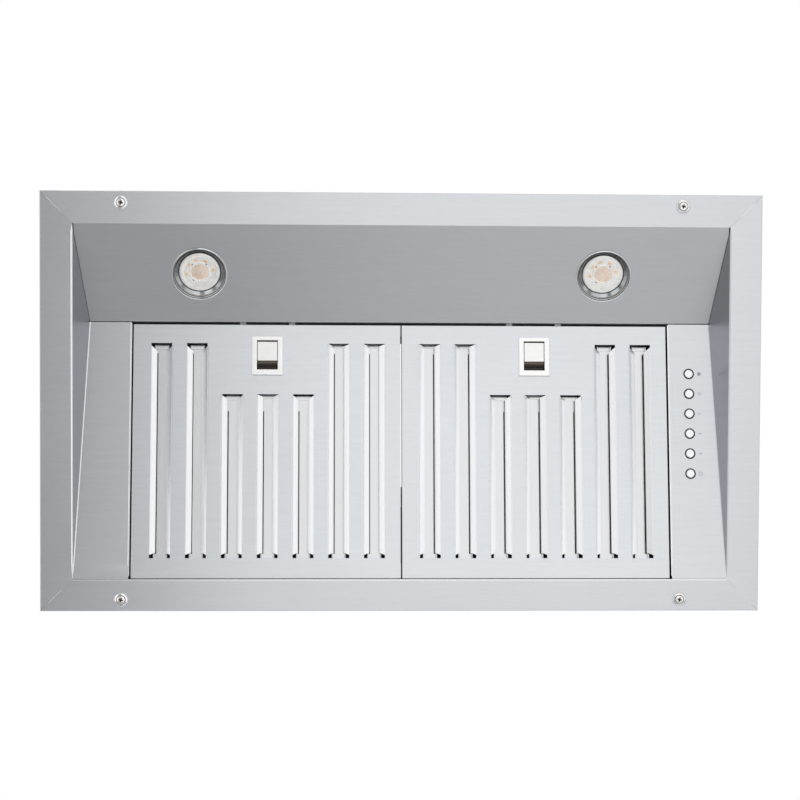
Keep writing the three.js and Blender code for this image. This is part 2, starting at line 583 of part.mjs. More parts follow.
// ---------------------------------------------------------------- blower
// Side outline of the scroll: a spiral that opens into a straight neck up to the lid.
function scrollOutline(inset, top) {
  const steps = 36;
  const from = THREE.MathUtils.degToRad(SCROLL_TONGUE);
  const outline = Array.from({ length: steps + 1 }, (_, i) => {
    const turn = from + (i / steps) * (2 * Math.PI - from);
    const r = SCROLL_START_R + (i / steps) * SCROLL_GROWTH - inset;
    return [SCROLL_Y + r * Math.cos(turn), SCROLL_Z + r * Math.sin(turn)];
  });
  return [...outline, [OUTLET_REAR - inset, top], [OUTLET_FRONT + inset, top]];
}
function scrollHousing() {
  const top = CASING_HEIGHT - GAP;
  const half = SCROLL_HALF + SCROLL_SHEET;
  const shell = cut(slab(scrollOutline(0, top), -half, half, ACROSS),
    slab(scrollOutline(SCROLL_SHEET, top + PAST), -SCROLL_HALF, SCROLL_HALF, ACROSS));
  const flange = cut(
    box([-half - OUTLET_FLANGE, OUTLET_FRONT - OUTLET_FLANGE, top - SCROLL_SHEET],
      [half + OUTLET_FLANGE, OUTLET_REAR + OUTLET_FLANGE, top]),
    box([-SCROLL_HALF, OUTLET_FRONT + SCROLL_SHEET, 0],
      [SCROLL_HALF, OUTLET_REAR - SCROLL_SHEET, top + PAST]));
  return cut(join(shell, flange), rod(INLET_R, -2 * half, 2 * half, FINE, WHEEL_FRAME));
}
// Bellmouth in the scroll's side, turned about the blower's axis.
function inletRing(s) {
  const face = SCROLL_HALF + SCROLL_SHEET + GAP;
  const profile = [[THROAT_R, WHEEL_HALF - 1], [THROAT_R + SCROLL_SHEET, WHEEL_HALF - 1],
    [THROAT_R + 2, face - 2], [THROAT_R + 5, face], [INLET_R + 8, face], [INLET_R + 8, face + SCROLL_SHEET],
    [THROAT_R + 5, face + SCROLL_SHEET], [THROAT_R + 1, face - 1]];
  const turn = new THREE.Matrix4().makeRotationY(s > 0 ? 0 : Math.PI);
  return turned(profile, FINE, WHEEL_FRAME.clone().multiply(turn));
}
// Squirrel-cage wheel: hub, centre disc, curved blades and an end ring on each side.
function impeller() {
  const disc = rod(WHEEL_R, -WHEEL_DISC / 2, WHEEL_DISC / 2, FINE);
  const hub = rod(HUB_R, -HUB_HALF, HUB_HALF, COARSE);
  const rings = [-WHEEL_HALF, WHEEL_HALF - RING_EDGE].map((z) =>
    pipe(WHEEL_R - RING_WIDTH, WHEEL_R, z, z + RING_EDGE, FINE));
  const blades = Array.from({ length: WHEEL_BLADES }, (_, i) =>
    slab(bladeOutline(), SUNK - WHEEL_HALF, WHEEL_HALF - SUNK, spun((2 * Math.PI * i) / WHEEL_BLADES)));
  const wheel = cut(join(disc, hub, rings, blades), rod(SHAFT_R + GAP, -FAR, FAR, COARSE));
  return wheel.transform(WHEEL_FRAME.elements);
}
function bladeOutline() {
  const steps = 2;
  const tip = WHEEL_R - 2 * GAP;
  const side = (offset) => Array.from({ length: steps + 1 }, (_, i) => {
    const r = WHEEL_INNER_R + (i / steps) * (tip - WHEEL_INNER_R);
    const turn = BLADE_SWEEP * (i / steps) ** 2;
    return [r * Math.cos(turn) - offset * Math.sin(turn), r * Math.sin(turn) + offset * Math.cos(turn)];
  });
  return [...side(-BLADE_SHEET / 2), ...side(BLADE_SHEET / 2).reverse()];
}
function motor() {
  const front = MOTOR_FRONT;
  const rear = front - MOTOR_LENGTH;
  const body = turned([[0, rear], [BOSS_R, rear], [BOSS_R + 2, rear + 4], [MOTOR_R - 5, rear + 6],
    [MOTOR_R, rear + 10], [MOTOR_R, front - 10], [MOTOR_R - 5, front - 5], [BOSS_R, front - 4],
    [BOSS_R - 2, front], [0, front]], COARSE);
  return cut(body, rod(SHAFT_R + GAP, rear - PAST, front + PAST, COARSE)).transform(WHEEL_FRAME.elements);
}
// Ring round the motor with three arms that stand on the scroll's left side.
function motorBracket() {
  const seat = -(SCROLL_HALF + SCROLL_SHEET + GAP);
  const level = seat - BRACKET_DROP;
  const w = ARM_WIDTH / 2;
  const band = BRACKET_BAND / 2;
  const ring = pipe(MOTOR_R + GAP, MOTOR_R + BRACKET_WALL, level - band, level + band, FINE);
  const arm = join(
    box([MOTOR_R + ARM_SHEET, -w, level - ARM_SHEET / 2], [ARM_REACH, w, level + ARM_SHEET / 2]),
    box([ARM_REACH - ARM_SHEET, -w, level - ARM_SHEET / 2], [ARM_REACH, w, seat]),
    box([ARM_REACH - ARM_SHEET, -w, seat - ARM_SHEET], [ARM_REACH + ARM_FOOT, w, seat]));
  const arms = [150, 270, 390].map((angle) => arm.transform(spun(THREE.MathUtils.degToRad(angle)).elements));
  return join(ring, arms).transform(WHEEL_FRAME.elements);
}
function addBlower() {
  add("scroll_housing", scrollHousing(), GALVANISED);
  add("inlet_ring_left", inletRing(-1), GALVANISED);
  add("inlet_ring_right", inletRing(1), GALVANISED);
  add("impeller", impeller(), GALVANISED);
  add("motor", motor(), DARK_STEEL);
  add("motor_shaft", rod(SHAFT_R, MOTOR_FRONT - MOTOR_LENGTH - 8, HUB_HALF + 2, COARSE, WHEEL_FRAME), CHROME);
  add("motor_bracket", motorBracket(), DARK_STEEL);
}

// ---------------------------------------------------------------- electrical parts
const bushPlace = (z) => moved(BOX_LEFT + BOX_SIZE.x / 2, BOX_MIDDLE, z);

function wiringBox() {
  const front = BOX_REAR - BOX_SIZE.y;
  const right = BOX_LEFT + BOX_SIZE.x;
  const shell = box([BOX_LEFT, front, WALL_TOP - BOX_SIZE.z], [right, BOX_REAR, WALL_TOP]);
  const hollow = box([BOX_LEFT + SHEET, front + SHEET, 0],
    [right - SHEET, BOX_REAR - SHEET, WALL_TOP - SHEET]);
  return cut(shell, hollow, rod(BUSH_HOLE_R, 0, WALL_TOP + PAST, FINE, bushPlace(0)));
}
// Tray that closes the box from below.
function wiringBoxCover() {
  const bottom = WALL_TOP - GAP - BOX_SIZE.z;
  const block = (grown, z0, z1) => box([BOX_LEFT - grown, BOX_REAR - BOX_SIZE.y - grown, z0],
    [BOX_LEFT + BOX_SIZE.x + grown, BOX_REAR + grown, z1]);
  return cut(block(GAP + SHEET, bottom - SHEET, bottom + COVER_SKIRT), block(GAP, bottom, bottom + PAST));
}
function terminalBlock() {
  const top = WALL_TOP - SHEET - GAP;
  const x = BOX_LEFT + BOX_SIZE.x - 28;
  const w = BLOCK_WIDTH / 2;
  const body = box([x - w, BOX_MIDDLE - BLOCK_LENGTH / 2, top - BLOCK_HEIGHT],
    [x + w, BOX_MIDDLE + BLOCK_LENGTH / 2, top]);
  const screws = BLOCK_WAYS.map((y) =>
    rod(3, top - 2 * BLOCK_HEIGHT, top - BLOCK_HEIGHT + 3, PLAIN, moved(x, BOX_MIDDLE + y)));
  const ways = BLOCK_WAYS.map((y) =>
    box([x - w - 1, BOX_MIDDLE + y - 2, top - 7], [x + w + 1, BOX_MIDDLE + y + 2, top - 4]));
  return cut(body, screws, ways);
}
function cableBush() {
  const R = BUSH_HOLE_R - GAP;
  return turned([[BUSH_BORE_R, -7], [R - 1.5, -7], [R, -5], [R, GAP], [R + 3, GAP], [R + 3, 2], [R + 2, 3.5],
    [BUSH_BORE_R + 2, 7], [BUSH_BORE_R, 7]], COARSE, bushPlace(LID_TOP));
}
// Motor capacitor, held to the lid by a strap.
function capacitor() {
  const R = CAPACITOR_R;
  const x = SCROLL_HALF + CAPACITOR_CLEAR;
  const level = WALL_TOP - SHEET - R;
  const along = new THREE.Matrix4().makeRotationY(Math.PI / 2).setPosition(x, OUTLET_Y, level);
  const can = turned([[0, 0], [R - 2, 0], [R - 0.5, 1.5], [R - 0.5, CAPACITOR_LENGTH], [0, CAPACITOR_LENGTH]],
    COARSE, along);
  const plate = (half, z0, z1) =>
    box([x + STRAP_FROM, OUTLET_Y - half, z0], [x + STRAP_TO, OUTLET_Y + half, z1]);
  return join(can, pipe(R - 1, R + 0.4, STRAP_FROM, STRAP_TO, COARSE, along),
    plate(R / 3, level + R / 2, WALL_TOP - SHEET / 2), plate(STRAP_HALF, WALL_TOP - SHEET, WALL_TOP));
}
// Lamps' power supply, hung by its ears inside the front wall.
function lampDriver() {
  const front = -CASING_Y + SHEET + GAP;
  const z = CASING_HEIGHT - DRIVER_DROP;
  const { x: width, y: depth, z: height } = DRIVER_SIZE;
  const ear = [width / 2 + EAR_WIDTH, front + EAR_SHEET, z + height];
  return join(
    box([-width / 2, front, z], [width / 2, front + depth, z + height]),
    SIDES.map((s) => sideBox(s, [width / 2 - SUNK, front, z], ear)));
}

// Loom along the front and side walls, with a lead to each lamp, the buttons' board, the box and the motor.
const LOOM_Y = -CASING_Y + LOOM_WALL;
const LOOM_Z = CASING_HEIGHT - LOOM_DROP;
const LOOM_X = CASING_X - LOOM_WALL - 2;
function lampLead(s) {
  const rise = BULB_LENGTH + SOCKET_LENGTH + GAP + 1;
  const { y, z } = new THREE.Vector3(0, LAMP_Y, rise).applyMatrix4(LIGHT_FRAME);
  return wire([[s * LAMP_X, y, z], [s * LAMP_X, LOOM_Y + 4, z + 16], [s * (LAMP_X - 8), LOOM_Y, LOOM_Z - 14],
    [s * (LAMP_X - 30), LOOM_Y, LOOM_Z]], LOOM_R, 8);
}
function boardLead() {
  const over = (rise) =>
    new THREE.Vector3(BUTTON_X, BUTTON_FIRST, boardTop() + rise).applyMatrix4(FILTER_FRAME).toArray();
  const [, y, z] = over(0);
  const points = [[LAMP_X - 30, LOOM_Y, LOOM_Z], [LOOM_X - 40, LOOM_Y, LOOM_Z],
    [LOOM_X, LOOM_Y + 40, LOOM_Z - 4], [LOOM_X, y - 30, LOOM_Z - 30], [LOOM_X - 10, y, z + 40],
    over(16), over(GAP)];
  return wire(points, LOOM_R, 16);
}
function boxLead() {
  const z = CASING_HEIGHT - BOX_SIZE.z / 2;
  const points = [[30 - LAMP_X, LOOM_Y, LOOM_Z], [40 - LOOM_X, LOOM_Y, LOOM_Z],
    [-LOOM_X, LOOM_Y + 40, LOOM_Z + 6], [-LOOM_X, SCROLL_Y, SCROLL_Z], [-LOOM_X, BOX_MIDDLE - 40, z - 10],
    [4 - LOOM_X, BOX_MIDDLE, z], [BOX_LEFT - GAP, BOX_MIDDLE, z]];
  return wire(points, LOOM_R, 18);
}
function motorLead() {
  const rear = MOTOR_FRONT - MOTOR_LENGTH;
  const entry = SCROLL_Z + (BOSS_R + MOTOR_R - 3) / 2; // middle of the motor's sloping rear shoulder
  const points = [[-LOOM_X, SCROLL_Y, SCROLL_Z], [60 - LOOM_X, SCROLL_Y + 6, entry + 4],
    [rear - 60, SCROLL_Y, entry + 8], [rear - 14, SCROLL_Y, entry], [rear + 4, SCROLL_Y, entry]];
  return wire(points, LOOM_R, 12);
}
function wiringLoom() {
  const level = (x) => [x, LOOM_Y, LOOM_Z];
  const run = wire([level(20 - LAMP_X), level(0), level(LAMP_X - 20)], LOOM_R, 4);
  const driverLead = wire([level(0), [0, LOOM_Y, CASING_HEIGHT - DRIVER_DROP - GAP]], LOOM_R, 2);
  return join(run, SIDES.map(lampLead), driverLead, boardLead(), boxLead(), motorLead());
}
function addElectrics() {
  add("wiring_box", wiringBox(), GALVANISED);
  add("wiring_box_cover", wiringBoxCover(), GALVANISED);
  add("terminal_block", terminalBlock(), WHITE_PLASTIC);
  add("cable_bush", cableBush(), BLACK_PLASTIC);
  add("capacitor", capacitor(), NICKEL);
  add("lamp_driver", lampDriver(), WHITE_PLASTIC);
  add("wiring_loom", wiringLoom(), CABLE_GREY);
}

// ---------------------------------------------------------------- push buttons
const buttonRest = GUIDE_TOP + GAP; // the shoulder that keeps a button from falling out
const switchFace = () => buttonRest + SHOULDER + BUTTON_TRAVEL + GAP + STEM_LENGTH;
const boardTop = () => switchFace() + SWITCH_HEIGHT + BOARD_SHEET;
const panelBoxFront = BUTTON_FIRST - PANEL_BOX_END;
const panelBoxRear = BUTTON_FIRST + (BUTTON_COUNT - 1) * BUTTON_PITCH + PANEL_BOX_END;

// Plastic box behind the trim; its guide tubes come through the trim's holes.
function switchHousing() {
  const left = BUTTON_X - PANEL_BOX_WIDTH / 2;
  const right = BUTTON_X + PANEL_BOX_WIDTH / 2;
  const floor = SHEET + GAP;
  const wall = PANEL_BOX_WALL;
  const tray = cut(box([left, panelBoxFront, floor], [right, panelBoxRear, boardTop() + 1]),
    box([left + wall, panelBoxFront + wall, floor + wall], [right - wall, panelBoxRear - wall, FAR]));
  const posts = [panelBoxFront + POST_INSET, panelBoxRear - POST_INSET].flatMap((y) =>
    [left + POST_INSET, right - POST_INSET].map((x) =>
      rod(POST_R, floor, boardTop() - BOARD_SHEET - GAP, PLAIN, moved(x, y))));
  const guideR = BUTTON_HOLE_R - GAP;
  const guides = buttonPlaces().map((y) => rod(guideR, GAP, GUIDE_TOP, COARSE, moved(BUTTON_X, y)));
  const bores = buttonPlaces().map((y) =>
    rod(guideR - BUTTON_WALL, -PAST, GUIDE_TOP + 1, COARSE, moved(BUTTON_X, y)));
  return cut(join(tray, posts, guides), bores).transform(FILTER_FRAME.elements);
}
function button(y) {
  const shoulderR = BUTTON_HOLE_R + GAP;
  const top = buttonRest + SHOULDER;
  return turned([[0, -BUTTON_PROUD], [BUTTON_R - 0.5, -BUTTON_PROUD], [BUTTON_R, 0.4 - BUTTON_PROUD],
    [BUTTON_R, buttonRest], [shoulderR, buttonRest], [shoulderR, top], [STEM_R, top],
    [STEM_R, top + STEM_LENGTH], [0, top + STEM_LENGTH]], COARSE, framed(FILTER_FRAME, BUTTON_X, y));
}
function controlBoard() {
  const half = PANEL_BOX_WIDTH / 2 - BOARD_INSET;
  const level = switchFace();
  const board = box([BUTTON_X - half, panelBoxFront + BOARD_INSET, level + SWITCH_HEIGHT],
    [BUTTON_X + half, panelBoxRear - BOARD_INSET, boardTop()]);
  const s = SWITCH_SIDE / 2;
  const switches = buttonPlaces().map((y) =>
    box([BUTTON_X - s, y - s, level], [BUTTON_X + s, y + s, level + SWITCH_HEIGHT + SUNK]));
  return join(board, switches).transform(FILTER_FRAME.elements);
}
function addControls() {
  add("switch_housing", switchHousing(), BLACK_PLASTIC);
  add("control_board", controlBoard(), BOARD_GREEN);
  buttonPlaces().forEach((y, i) => add("button_" + (i + 1), button(y), CHROME));
}

// ---------------------------------------------------------------- lamps
// Trim ring: flange under the panel, collar through its hole and a lip below the bulb.
function lampRing(place) {
  const bore = BULB_R + GAP;
  const lip = BULB_R - 1;
  const collar = LAMP_HOLE_R - GAP;
  return turned([[lip, -1.5], [LAMP_RING_R - 0.4, -1.3], [LAMP_RING_R, -0.8], [LAMP_RING_R - 0.2, -GAP],
    [collar, -GAP], [collar, RING_COLLAR], [bore, RING_COLLAR], [bore, RING_SHEET], [lip, RING_SHEET]],
    FINE, place);
}
function lampBulb(place) {
  const rim = RING_SHEET + GAP;
  const body = turned([[0, LENS_LEVEL], [LENS_R - 1, LENS_LEVEL - 0.2], [LENS_R, rim + 0.6],
    [LENS_R + 1, rim], [BULB_R, rim], [BULB_R, rim + 6.3], [SOCKET_R + 2, BULB_LENGTH - 16],
    [SOCKET_R - 1, BULB_LENGTH - 12],
    [SOCKET_R - 3, BULB_LENGTH], [0, BULB_LENGTH]], COARSE, place);
  const pins = SIDES.map((s) =>
    rod(PIN_R, BULB_LENGTH - 1, BULB_LENGTH + PIN_LENGTH, PLAIN, framed(place, s * PIN_X, 0)));
  return join(body, pins);
}
function lampSocket(place) {
  const base = BULB_LENGTH + GAP;
  const top = base + SOCKET_LENGTH;
  const body = turned([[0, base], [SOCKET_R - 1, base], [SOCKET_R, base + 2], [SOCKET_R, top - 4],
    [SOCKET_R - 4, top], [0, top]], COARSE, place);
  return cut(body, SIDES.map((s) =>
    rod(PIN_R + 2 * GAP, 0, BULB_LENGTH + PIN_LENGTH + 1, PLAIN, framed(place, s * PIN_X, 0))));
}
function addLamps() {
  for (const [side, s] of [["left", -1], ["right", 1]]) {
    const place = framed(LIGHT_FRAME, s * LAMP_X, LAMP_Y);
    add("lamp_ring_" + side, lampRing(place), CHROME);
    add("lamp_bulb_" + side, lampBulb(place), LENS);
    add("lamp_socket_" + side, lampSocket(place), WHITE_PLASTIC);
  }
}

// ---------------------------------------------------------------- filters
// In a filter's own frame x = 0 is its middle, y = 0 the deep line and z = 0 its lower face.
function slotPlaces() {
  const count = 1 + Math.floor((FILTER_WIDTH - 2 * SLOT_MARGIN - SLOT_WIDTH) / SLOT_PITCH);
  const crossbarHalf = PRONG_X + PRONG_WIDTH / 2;
  return Array.from({ length: count }, (_, i) => {
    const x = SLOT_SHIFT + (i - (count - 1) / 2) * SLOT_PITCH;
    const behindLatch = Math.abs(x) - SLOT_WIDTH / 2 < crossbarHalf + SLOT_CLEAR;
    return { x, front: behindLatch ? SLOT_FRONT_SHORT : SLOT_FRONT, rear: FILTER_RUN - SLOT_REAR };
  });
}
// One folded lip: a plate with chamfered ends that leans over the slot from its edge.
function slotLip(slot, s) {
  const rise = Math.SQRT2 * LIP_RUN;
  const root = 2 * GAP;
  const outline = [[slot.front + GAP, -root], [slot.rear - GAP, -root],
    [slot.rear - GAP - LIP_CHAMFER, rise], [slot.front + GAP + LIP_CHAMFER, rise]];
  const lean = new THREE.Vector3(-s, 0, 1).normalize();
  const along = new THREE.Vector3(0, 1, 0);
  const place = new THREE.Matrix4()
    .makeBasis(along, lean, along.clone().cross(lean))
    .setPosition(slot.x + (s * SLOT_WIDTH) / 2, 0, LIP_SHEET / 2);
  return slab(outline, -LIP_SHEET / 2, LIP_SHEET / 2, place);
}
// Shallow tray with the inlet slots, the latch's hole and two small holes for its prongs.
function filterFace() {
  const half = FILTER_WIDTH / 2;
  const tray = cut(box([-half, FILTER_GAP, 0], [half, FILTER_END, FILTER_HEIGHT]),
    box([SHEET - half, FILTER_GAP + SHEET, SHEET], [half - SHEET, FILTER_END - SHEET, FILTER_HEIGHT + PAST]));
  const slots = slotPlaces();
  const holes = slots.map((slot) =>
    box([slot.x - SLOT_WIDTH / 2, slot.front, -PAST], [slot.x + SLOT_WIDTH / 2, slot.rear, PAST]));
  const [latchX, latchY] = [BEZEL_WIDTH / 2 - BEZEL_LAP, BEZEL_LENGTH / 2 - BEZEL_LAP];
  const latchHole = box([-latchX, BEZEL_Y - latchY, -PAST], [latchX, BEZEL_Y + latchY, PAST]);
  const prongHoles = SIDES.map((s) => box(
    [s * PRONG_X - PRONG_WIDTH / 2 - GAP, 0, CARRIAGE_LEVEL - GAP],
    [s * PRONG_X + PRONG_WIDTH / 2 + GAP, FILTER_GAP + 3 * SHEET, CARRIAGE_TOP + GAP]));
  const lips = slots.flatMap((slot) => SIDES.map((s) => slotLip(slot, s)));
  return join(cut(tray, holes, latchHole, prongHoles), lips);
}
// Back pan inside the tray. A channel hangs over each slot, cut free along its sides and at its front.
function filterBaffle() {
  const half = FILTER_WIDTH / 2 - SHEET - GAP;
  const front = FILTER_GAP + SHEET + GAP;
  const rear = FILTER_END - SHEET - GAP;
  const pan = cut(box([-half, front, SHEET + GAP], [half, rear, BAFFLE_LEVEL + SHEET]),
    box([SHEET - half, 0, 0], [half - SHEET, FILTER_END + PAST, BAFFLE_LEVEL]));
  const w = CHANNEL_WIDTH / 2;
  const channels = slotPlaces().map((slot) => ({ ...slot, left: slot.x - w, right: slot.x + w }));
  const border = half - SHEET - PAN_BORDER;
  const through = (x0, y0, x1, y1) => box([x0, y0 - CHANNEL_GAP, 0], [x1, y1, BAFFLE_LEVEL + PAST]);
  const outlets = Array.from({ length: channels.length + 1 }, (_, i) => {
    const beside = channels.slice(Math.max(i - 1, 0), i + 1);
    const x0 = i > 0 ? channels[i - 1].right : -border;
    const x1 = i < channels.length ? channels[i].left : border;
    return through(x0, Math.min(...beside.map((channel) => channel.front)), x1, channels[0].rear);
  });
  const ends = channels.map(({ left, right, front: y }) => through(left, y, right, y + CHANNEL_FRONT));
  const walls = channels.flatMap(({ left, right, front: y, rear: end }) =>
    [[left, left + LIP_SHEET], [right - LIP_SHEET, right]].map(([x0, x1]) =>
      box([x0, y + CHANNEL_FRONT, BAFFLE_LEVEL - CHANNEL_WALL], [x1, end, BAFFLE_LEVEL + SHEET / 2])));
  return join(cut(pan, outlets, ends), walls);
}

// Bezel: frame under the face, collar through its hole, two clips over the carriage and the spring's stop.
function latchBezel() {
  const [w, l] = [BEZEL_WIDTH / 2, BEZEL_LENGTH / 2];
  const block = (inset, z0, z1) =>
    box([inset - w, BEZEL_Y - l + inset, z0], [w - inset, BEZEL_Y + l - inset, z1]);
  const inset = BEZEL_LAP + GAP;
  const opening = box([-WINDOW_WIDTH / 2, WINDOW_Y, -PAST],
    [WINDOW_WIDTH / 2, WINDOW_Y + WINDOW_LENGTH, PAST]);
  const frame = cut(join(block(0, -GAP - BEZEL_PROUD, -GAP), block(inset, -GAP - SUNK, COLLAR_TOP)), opening);
  const over = CARRIAGE_TOP + GAP;
  const inner = CARRIAGE_WIDTH / 2 + GAP;
  const clips = SIDES.flatMap((s) => [
    sideBox(s, [inner, CLIP_FRONT, COLLAR_TOP - SUNK], [w - inset, CLIP_REAR, over + CLIP_SHEET]),
    sideBox(s, [inner - CLIP_GRIP, CLIP_FRONT, over], [w - inset, CLIP_REAR, over + CLIP_SHEET])]);
  const stop = box([-TAB_HALF, STOP_Y, COLLAR_TOP - SUNK],
    [TAB_HALF, STOP_Y + TAB_SHEET, CARRIAGE_TOP + TAB_HEIGHT]);
  return join(frame, clips, stop);
}
// Slider: thumb block in the window, carriage and crossbar above it, two prongs and the spring's tab.
function latchSlide() {
  const half = CARRIAGE_WIDTH / 2;
  const bar = PRONG_X + PRONG_WIDTH / 2;
  const rear = STOP_Y - GAP - LATCH_TRAVEL;
  const thumb = box([GAP - WINDOW_WIDTH / 2, WINDOW_Y + GAP, -2 * GAP],
    [WINDOW_WIDTH / 2 - GAP, WINDOW_Y + GAP + THUMB_LENGTH, CARRIAGE_LEVEL + SUNK]);
  const prongs = SIDES.map((s) => box([s * PRONG_X - PRONG_WIDTH / 2, -PRONG_REACH, CARRIAGE_LEVEL],
    [s * PRONG_X + PRONG_WIDTH / 2, CROSSBAR_FRONT + SHEET, CARRIAGE_TOP]));
  return join(thumb, prongs,
    box([-half, CROSSBAR_FRONT, CARRIAGE_LEVEL], [half, rear, CARRIAGE_TOP]),
    box([-bar, CROSSBAR_FRONT, CARRIAGE_LEVEL], [bar, CROSSBAR_REAR, CARRIAGE_TOP]),
    box([-TAB_HALF, CROSSBAR_REAR, CARRIAGE_TOP - SUNK],
      [TAB_HALF, CROSSBAR_REAR + TAB_SHEET, CARRIAGE_TOP + TAB_HEIGHT]));
}
// Compression spring on top of the carriage, between its tab and the bezel's stop.
function latchSpring() {
  const from = CROSSBAR_REAR + TAB_SHEET + GAP + SPRING_WIRE_R;
  const run = STOP_Y - GAP - SPRING_WIRE_R - from;
  const level = CARRIAGE_TOP + GAP + SPRING_R + SPRING_WIRE_R;
  const coil = new THREE.Curve();
  coil.getPoint = (t, target = new THREE.Vector3()) => {
    const turn = 2 * Math.PI * SPRING_TURNS * t;
    return target.set(SPRING_R * Math.cos(turn), from + t * run, level + SPRING_R * Math.sin(turn));
  };
  const gap = leastGap(coil, SPRING_TURNS, SPRING_WIRE_R);
  console.log("spring, least gap to itself:", gap.toFixed(2), "mm");
  return sweep(coil, SPRING_WIRE_R, SPRING_TURNS * 8, 5);
}
// Least distance between the wire's surface and itself, from half a turn on, measured on points.
function leastGap(curve, turns, radius) {
  const steps = 24;
  const points = Array.from({ length: steps * turns + 1 }, (_, i) => curve.getPoint(i / (steps * turns)));
  const apart = points.flatMap((p, i) => points.slice(i + steps / 2).map((q) => p.distanceTo(q)));
  return Math.min(...apart) - 2 * radius;
}
function addFilters() {
  const pieces = [
    ["filter_face", filterFace(), BRUSHED],
    ["filter_baffle", filterBaffle(), BRUSHED],
    ["latch_bezel", latchBezel(), NICKEL],
    ["latch_slide", latchSlide(), NICKEL],
    ["latch_spring", latchSpring(), CHROME],
  ];
  for (const [side, s] of [["left", -1], ["right", 1]]) {
    const place = framed(FILTER_FRAME, s * FILTER_X, 0, FILTER_LIFT);
    for (const [name, body, material] of pieces) {
      add(name + "_" + side, body.transform(place.elements), material);
    }
  }
}

addLiner();
addScrews();
addCasing();
addDuct();
addBlower();
addElectrics();
addControls();
addLamps();
addFilters();

export default hood;
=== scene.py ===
"""Looks of a range hood insert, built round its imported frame. The frame is in metres, +Z up."""

import json
import math
import random

import bmesh
import bpy
from mathutils import Matrix, Vector

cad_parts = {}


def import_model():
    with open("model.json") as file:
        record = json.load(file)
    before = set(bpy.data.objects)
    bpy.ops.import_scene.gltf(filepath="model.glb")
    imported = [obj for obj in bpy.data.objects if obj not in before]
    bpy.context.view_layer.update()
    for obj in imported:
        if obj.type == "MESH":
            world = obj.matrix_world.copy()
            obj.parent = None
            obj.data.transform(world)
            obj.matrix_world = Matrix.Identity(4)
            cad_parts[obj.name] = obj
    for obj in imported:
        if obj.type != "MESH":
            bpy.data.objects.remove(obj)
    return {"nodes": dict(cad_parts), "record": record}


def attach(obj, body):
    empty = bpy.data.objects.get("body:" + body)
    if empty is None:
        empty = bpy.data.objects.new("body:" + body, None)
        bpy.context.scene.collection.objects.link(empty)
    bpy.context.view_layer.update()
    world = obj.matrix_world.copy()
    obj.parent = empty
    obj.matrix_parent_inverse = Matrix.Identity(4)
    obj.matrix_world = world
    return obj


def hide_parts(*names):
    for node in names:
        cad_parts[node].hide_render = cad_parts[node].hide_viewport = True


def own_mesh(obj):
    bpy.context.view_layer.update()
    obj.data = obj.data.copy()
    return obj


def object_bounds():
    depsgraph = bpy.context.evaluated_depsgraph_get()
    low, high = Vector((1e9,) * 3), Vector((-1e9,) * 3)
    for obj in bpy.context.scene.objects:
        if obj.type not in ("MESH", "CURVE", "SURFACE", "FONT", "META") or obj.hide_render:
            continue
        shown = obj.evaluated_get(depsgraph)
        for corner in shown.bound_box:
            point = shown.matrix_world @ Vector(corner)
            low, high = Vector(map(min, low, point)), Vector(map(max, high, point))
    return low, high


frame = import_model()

CAD_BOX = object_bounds()
NODES = frame["nodes"]
BODY_OF = {node: body for body, nodes in frame["record"]["behaviour"]["bodies"].items() for node in nodes}
SLOT_OF = {row["node"]: row["material_slot"] for row in frame["record"]["subparts"]}
SIDES = {"left": -1, "right": 1}

# -------- sizes, in millimetres
MM = 0.001
HOOD = Matrix.Identity(4)
SHEET = 0.95  # drawn thickness of a folded sheet
GAP = 0.3
RIM = Vector((362, 210))  # half the rim
IN = Vector((329.6, 177.6))  # half the recess, at the rim
HEM, HEM_R = 8, 0.98
RECESS = 43.6
DEEP = Vector((316.1, -79.6))  # where light panel, filters and side walls meet
OPENING_X = 274.1
FILTER_RUN = math.hypot(RECESS, IN.y - DEEP.y)
TRIM_UPSTAND = 15
LEDGE = 16
FOLD_R = 2  # outside of a folded edge
TRIM_FOLD_R = 0.9
MITRE = 0.1  # half the joint between two mitred strips
SEAM = 0.1  # between the light panel and the side walls
CORNER_RELIEF = Vector((1.3, 8))  # cut back at the recess corners, across and along
PRONG_X, PRONG_HALF = 25, 3.3
LATCH_WINDOW, LATCH_COLLAR = (10.45, 18.4, 48.1), (13.4, 16.3, 51.7)  # half width, front and rear
CARRIAGE_Z = (3.1, 4.7)
CROSSBAR_REAR = 15.5
TAB_TOP = 9.7  # of the slider's tab and of the stop it squeezes the spring against
SPRING_R, SPRING_WIRE, SPRING_ENDS, SPRING_Z = 1.9, 0.35, (17.55, 49.65), 7.25
SCREW = Vector((281.3, 198.3))
SCREW_HOLE_R = 2.4
SLOT_HALF = 10.5
SLOT_X = [0.9 + 36 * (i - 3) for i in range(7)]
SLOT_FRONT, SLOT_FRONT_SHORT, SLOT_REAR = 21.3, 73.5, FILTER_RUN - 21
FILTER_X = 136.25  # a filter's middle
FACE_HALF = 135.85
FACE_CORNER = 0.8  # outside of its folded edge
FACE_FROM, FACE_TO, FACE_HEIGHT = 2, FILTER_RUN + 3.5, 13
LATCH_HOLE = (13.7, 16, 52)  # half width, front and rear, as in the two above
LIP_RUN = 5.4
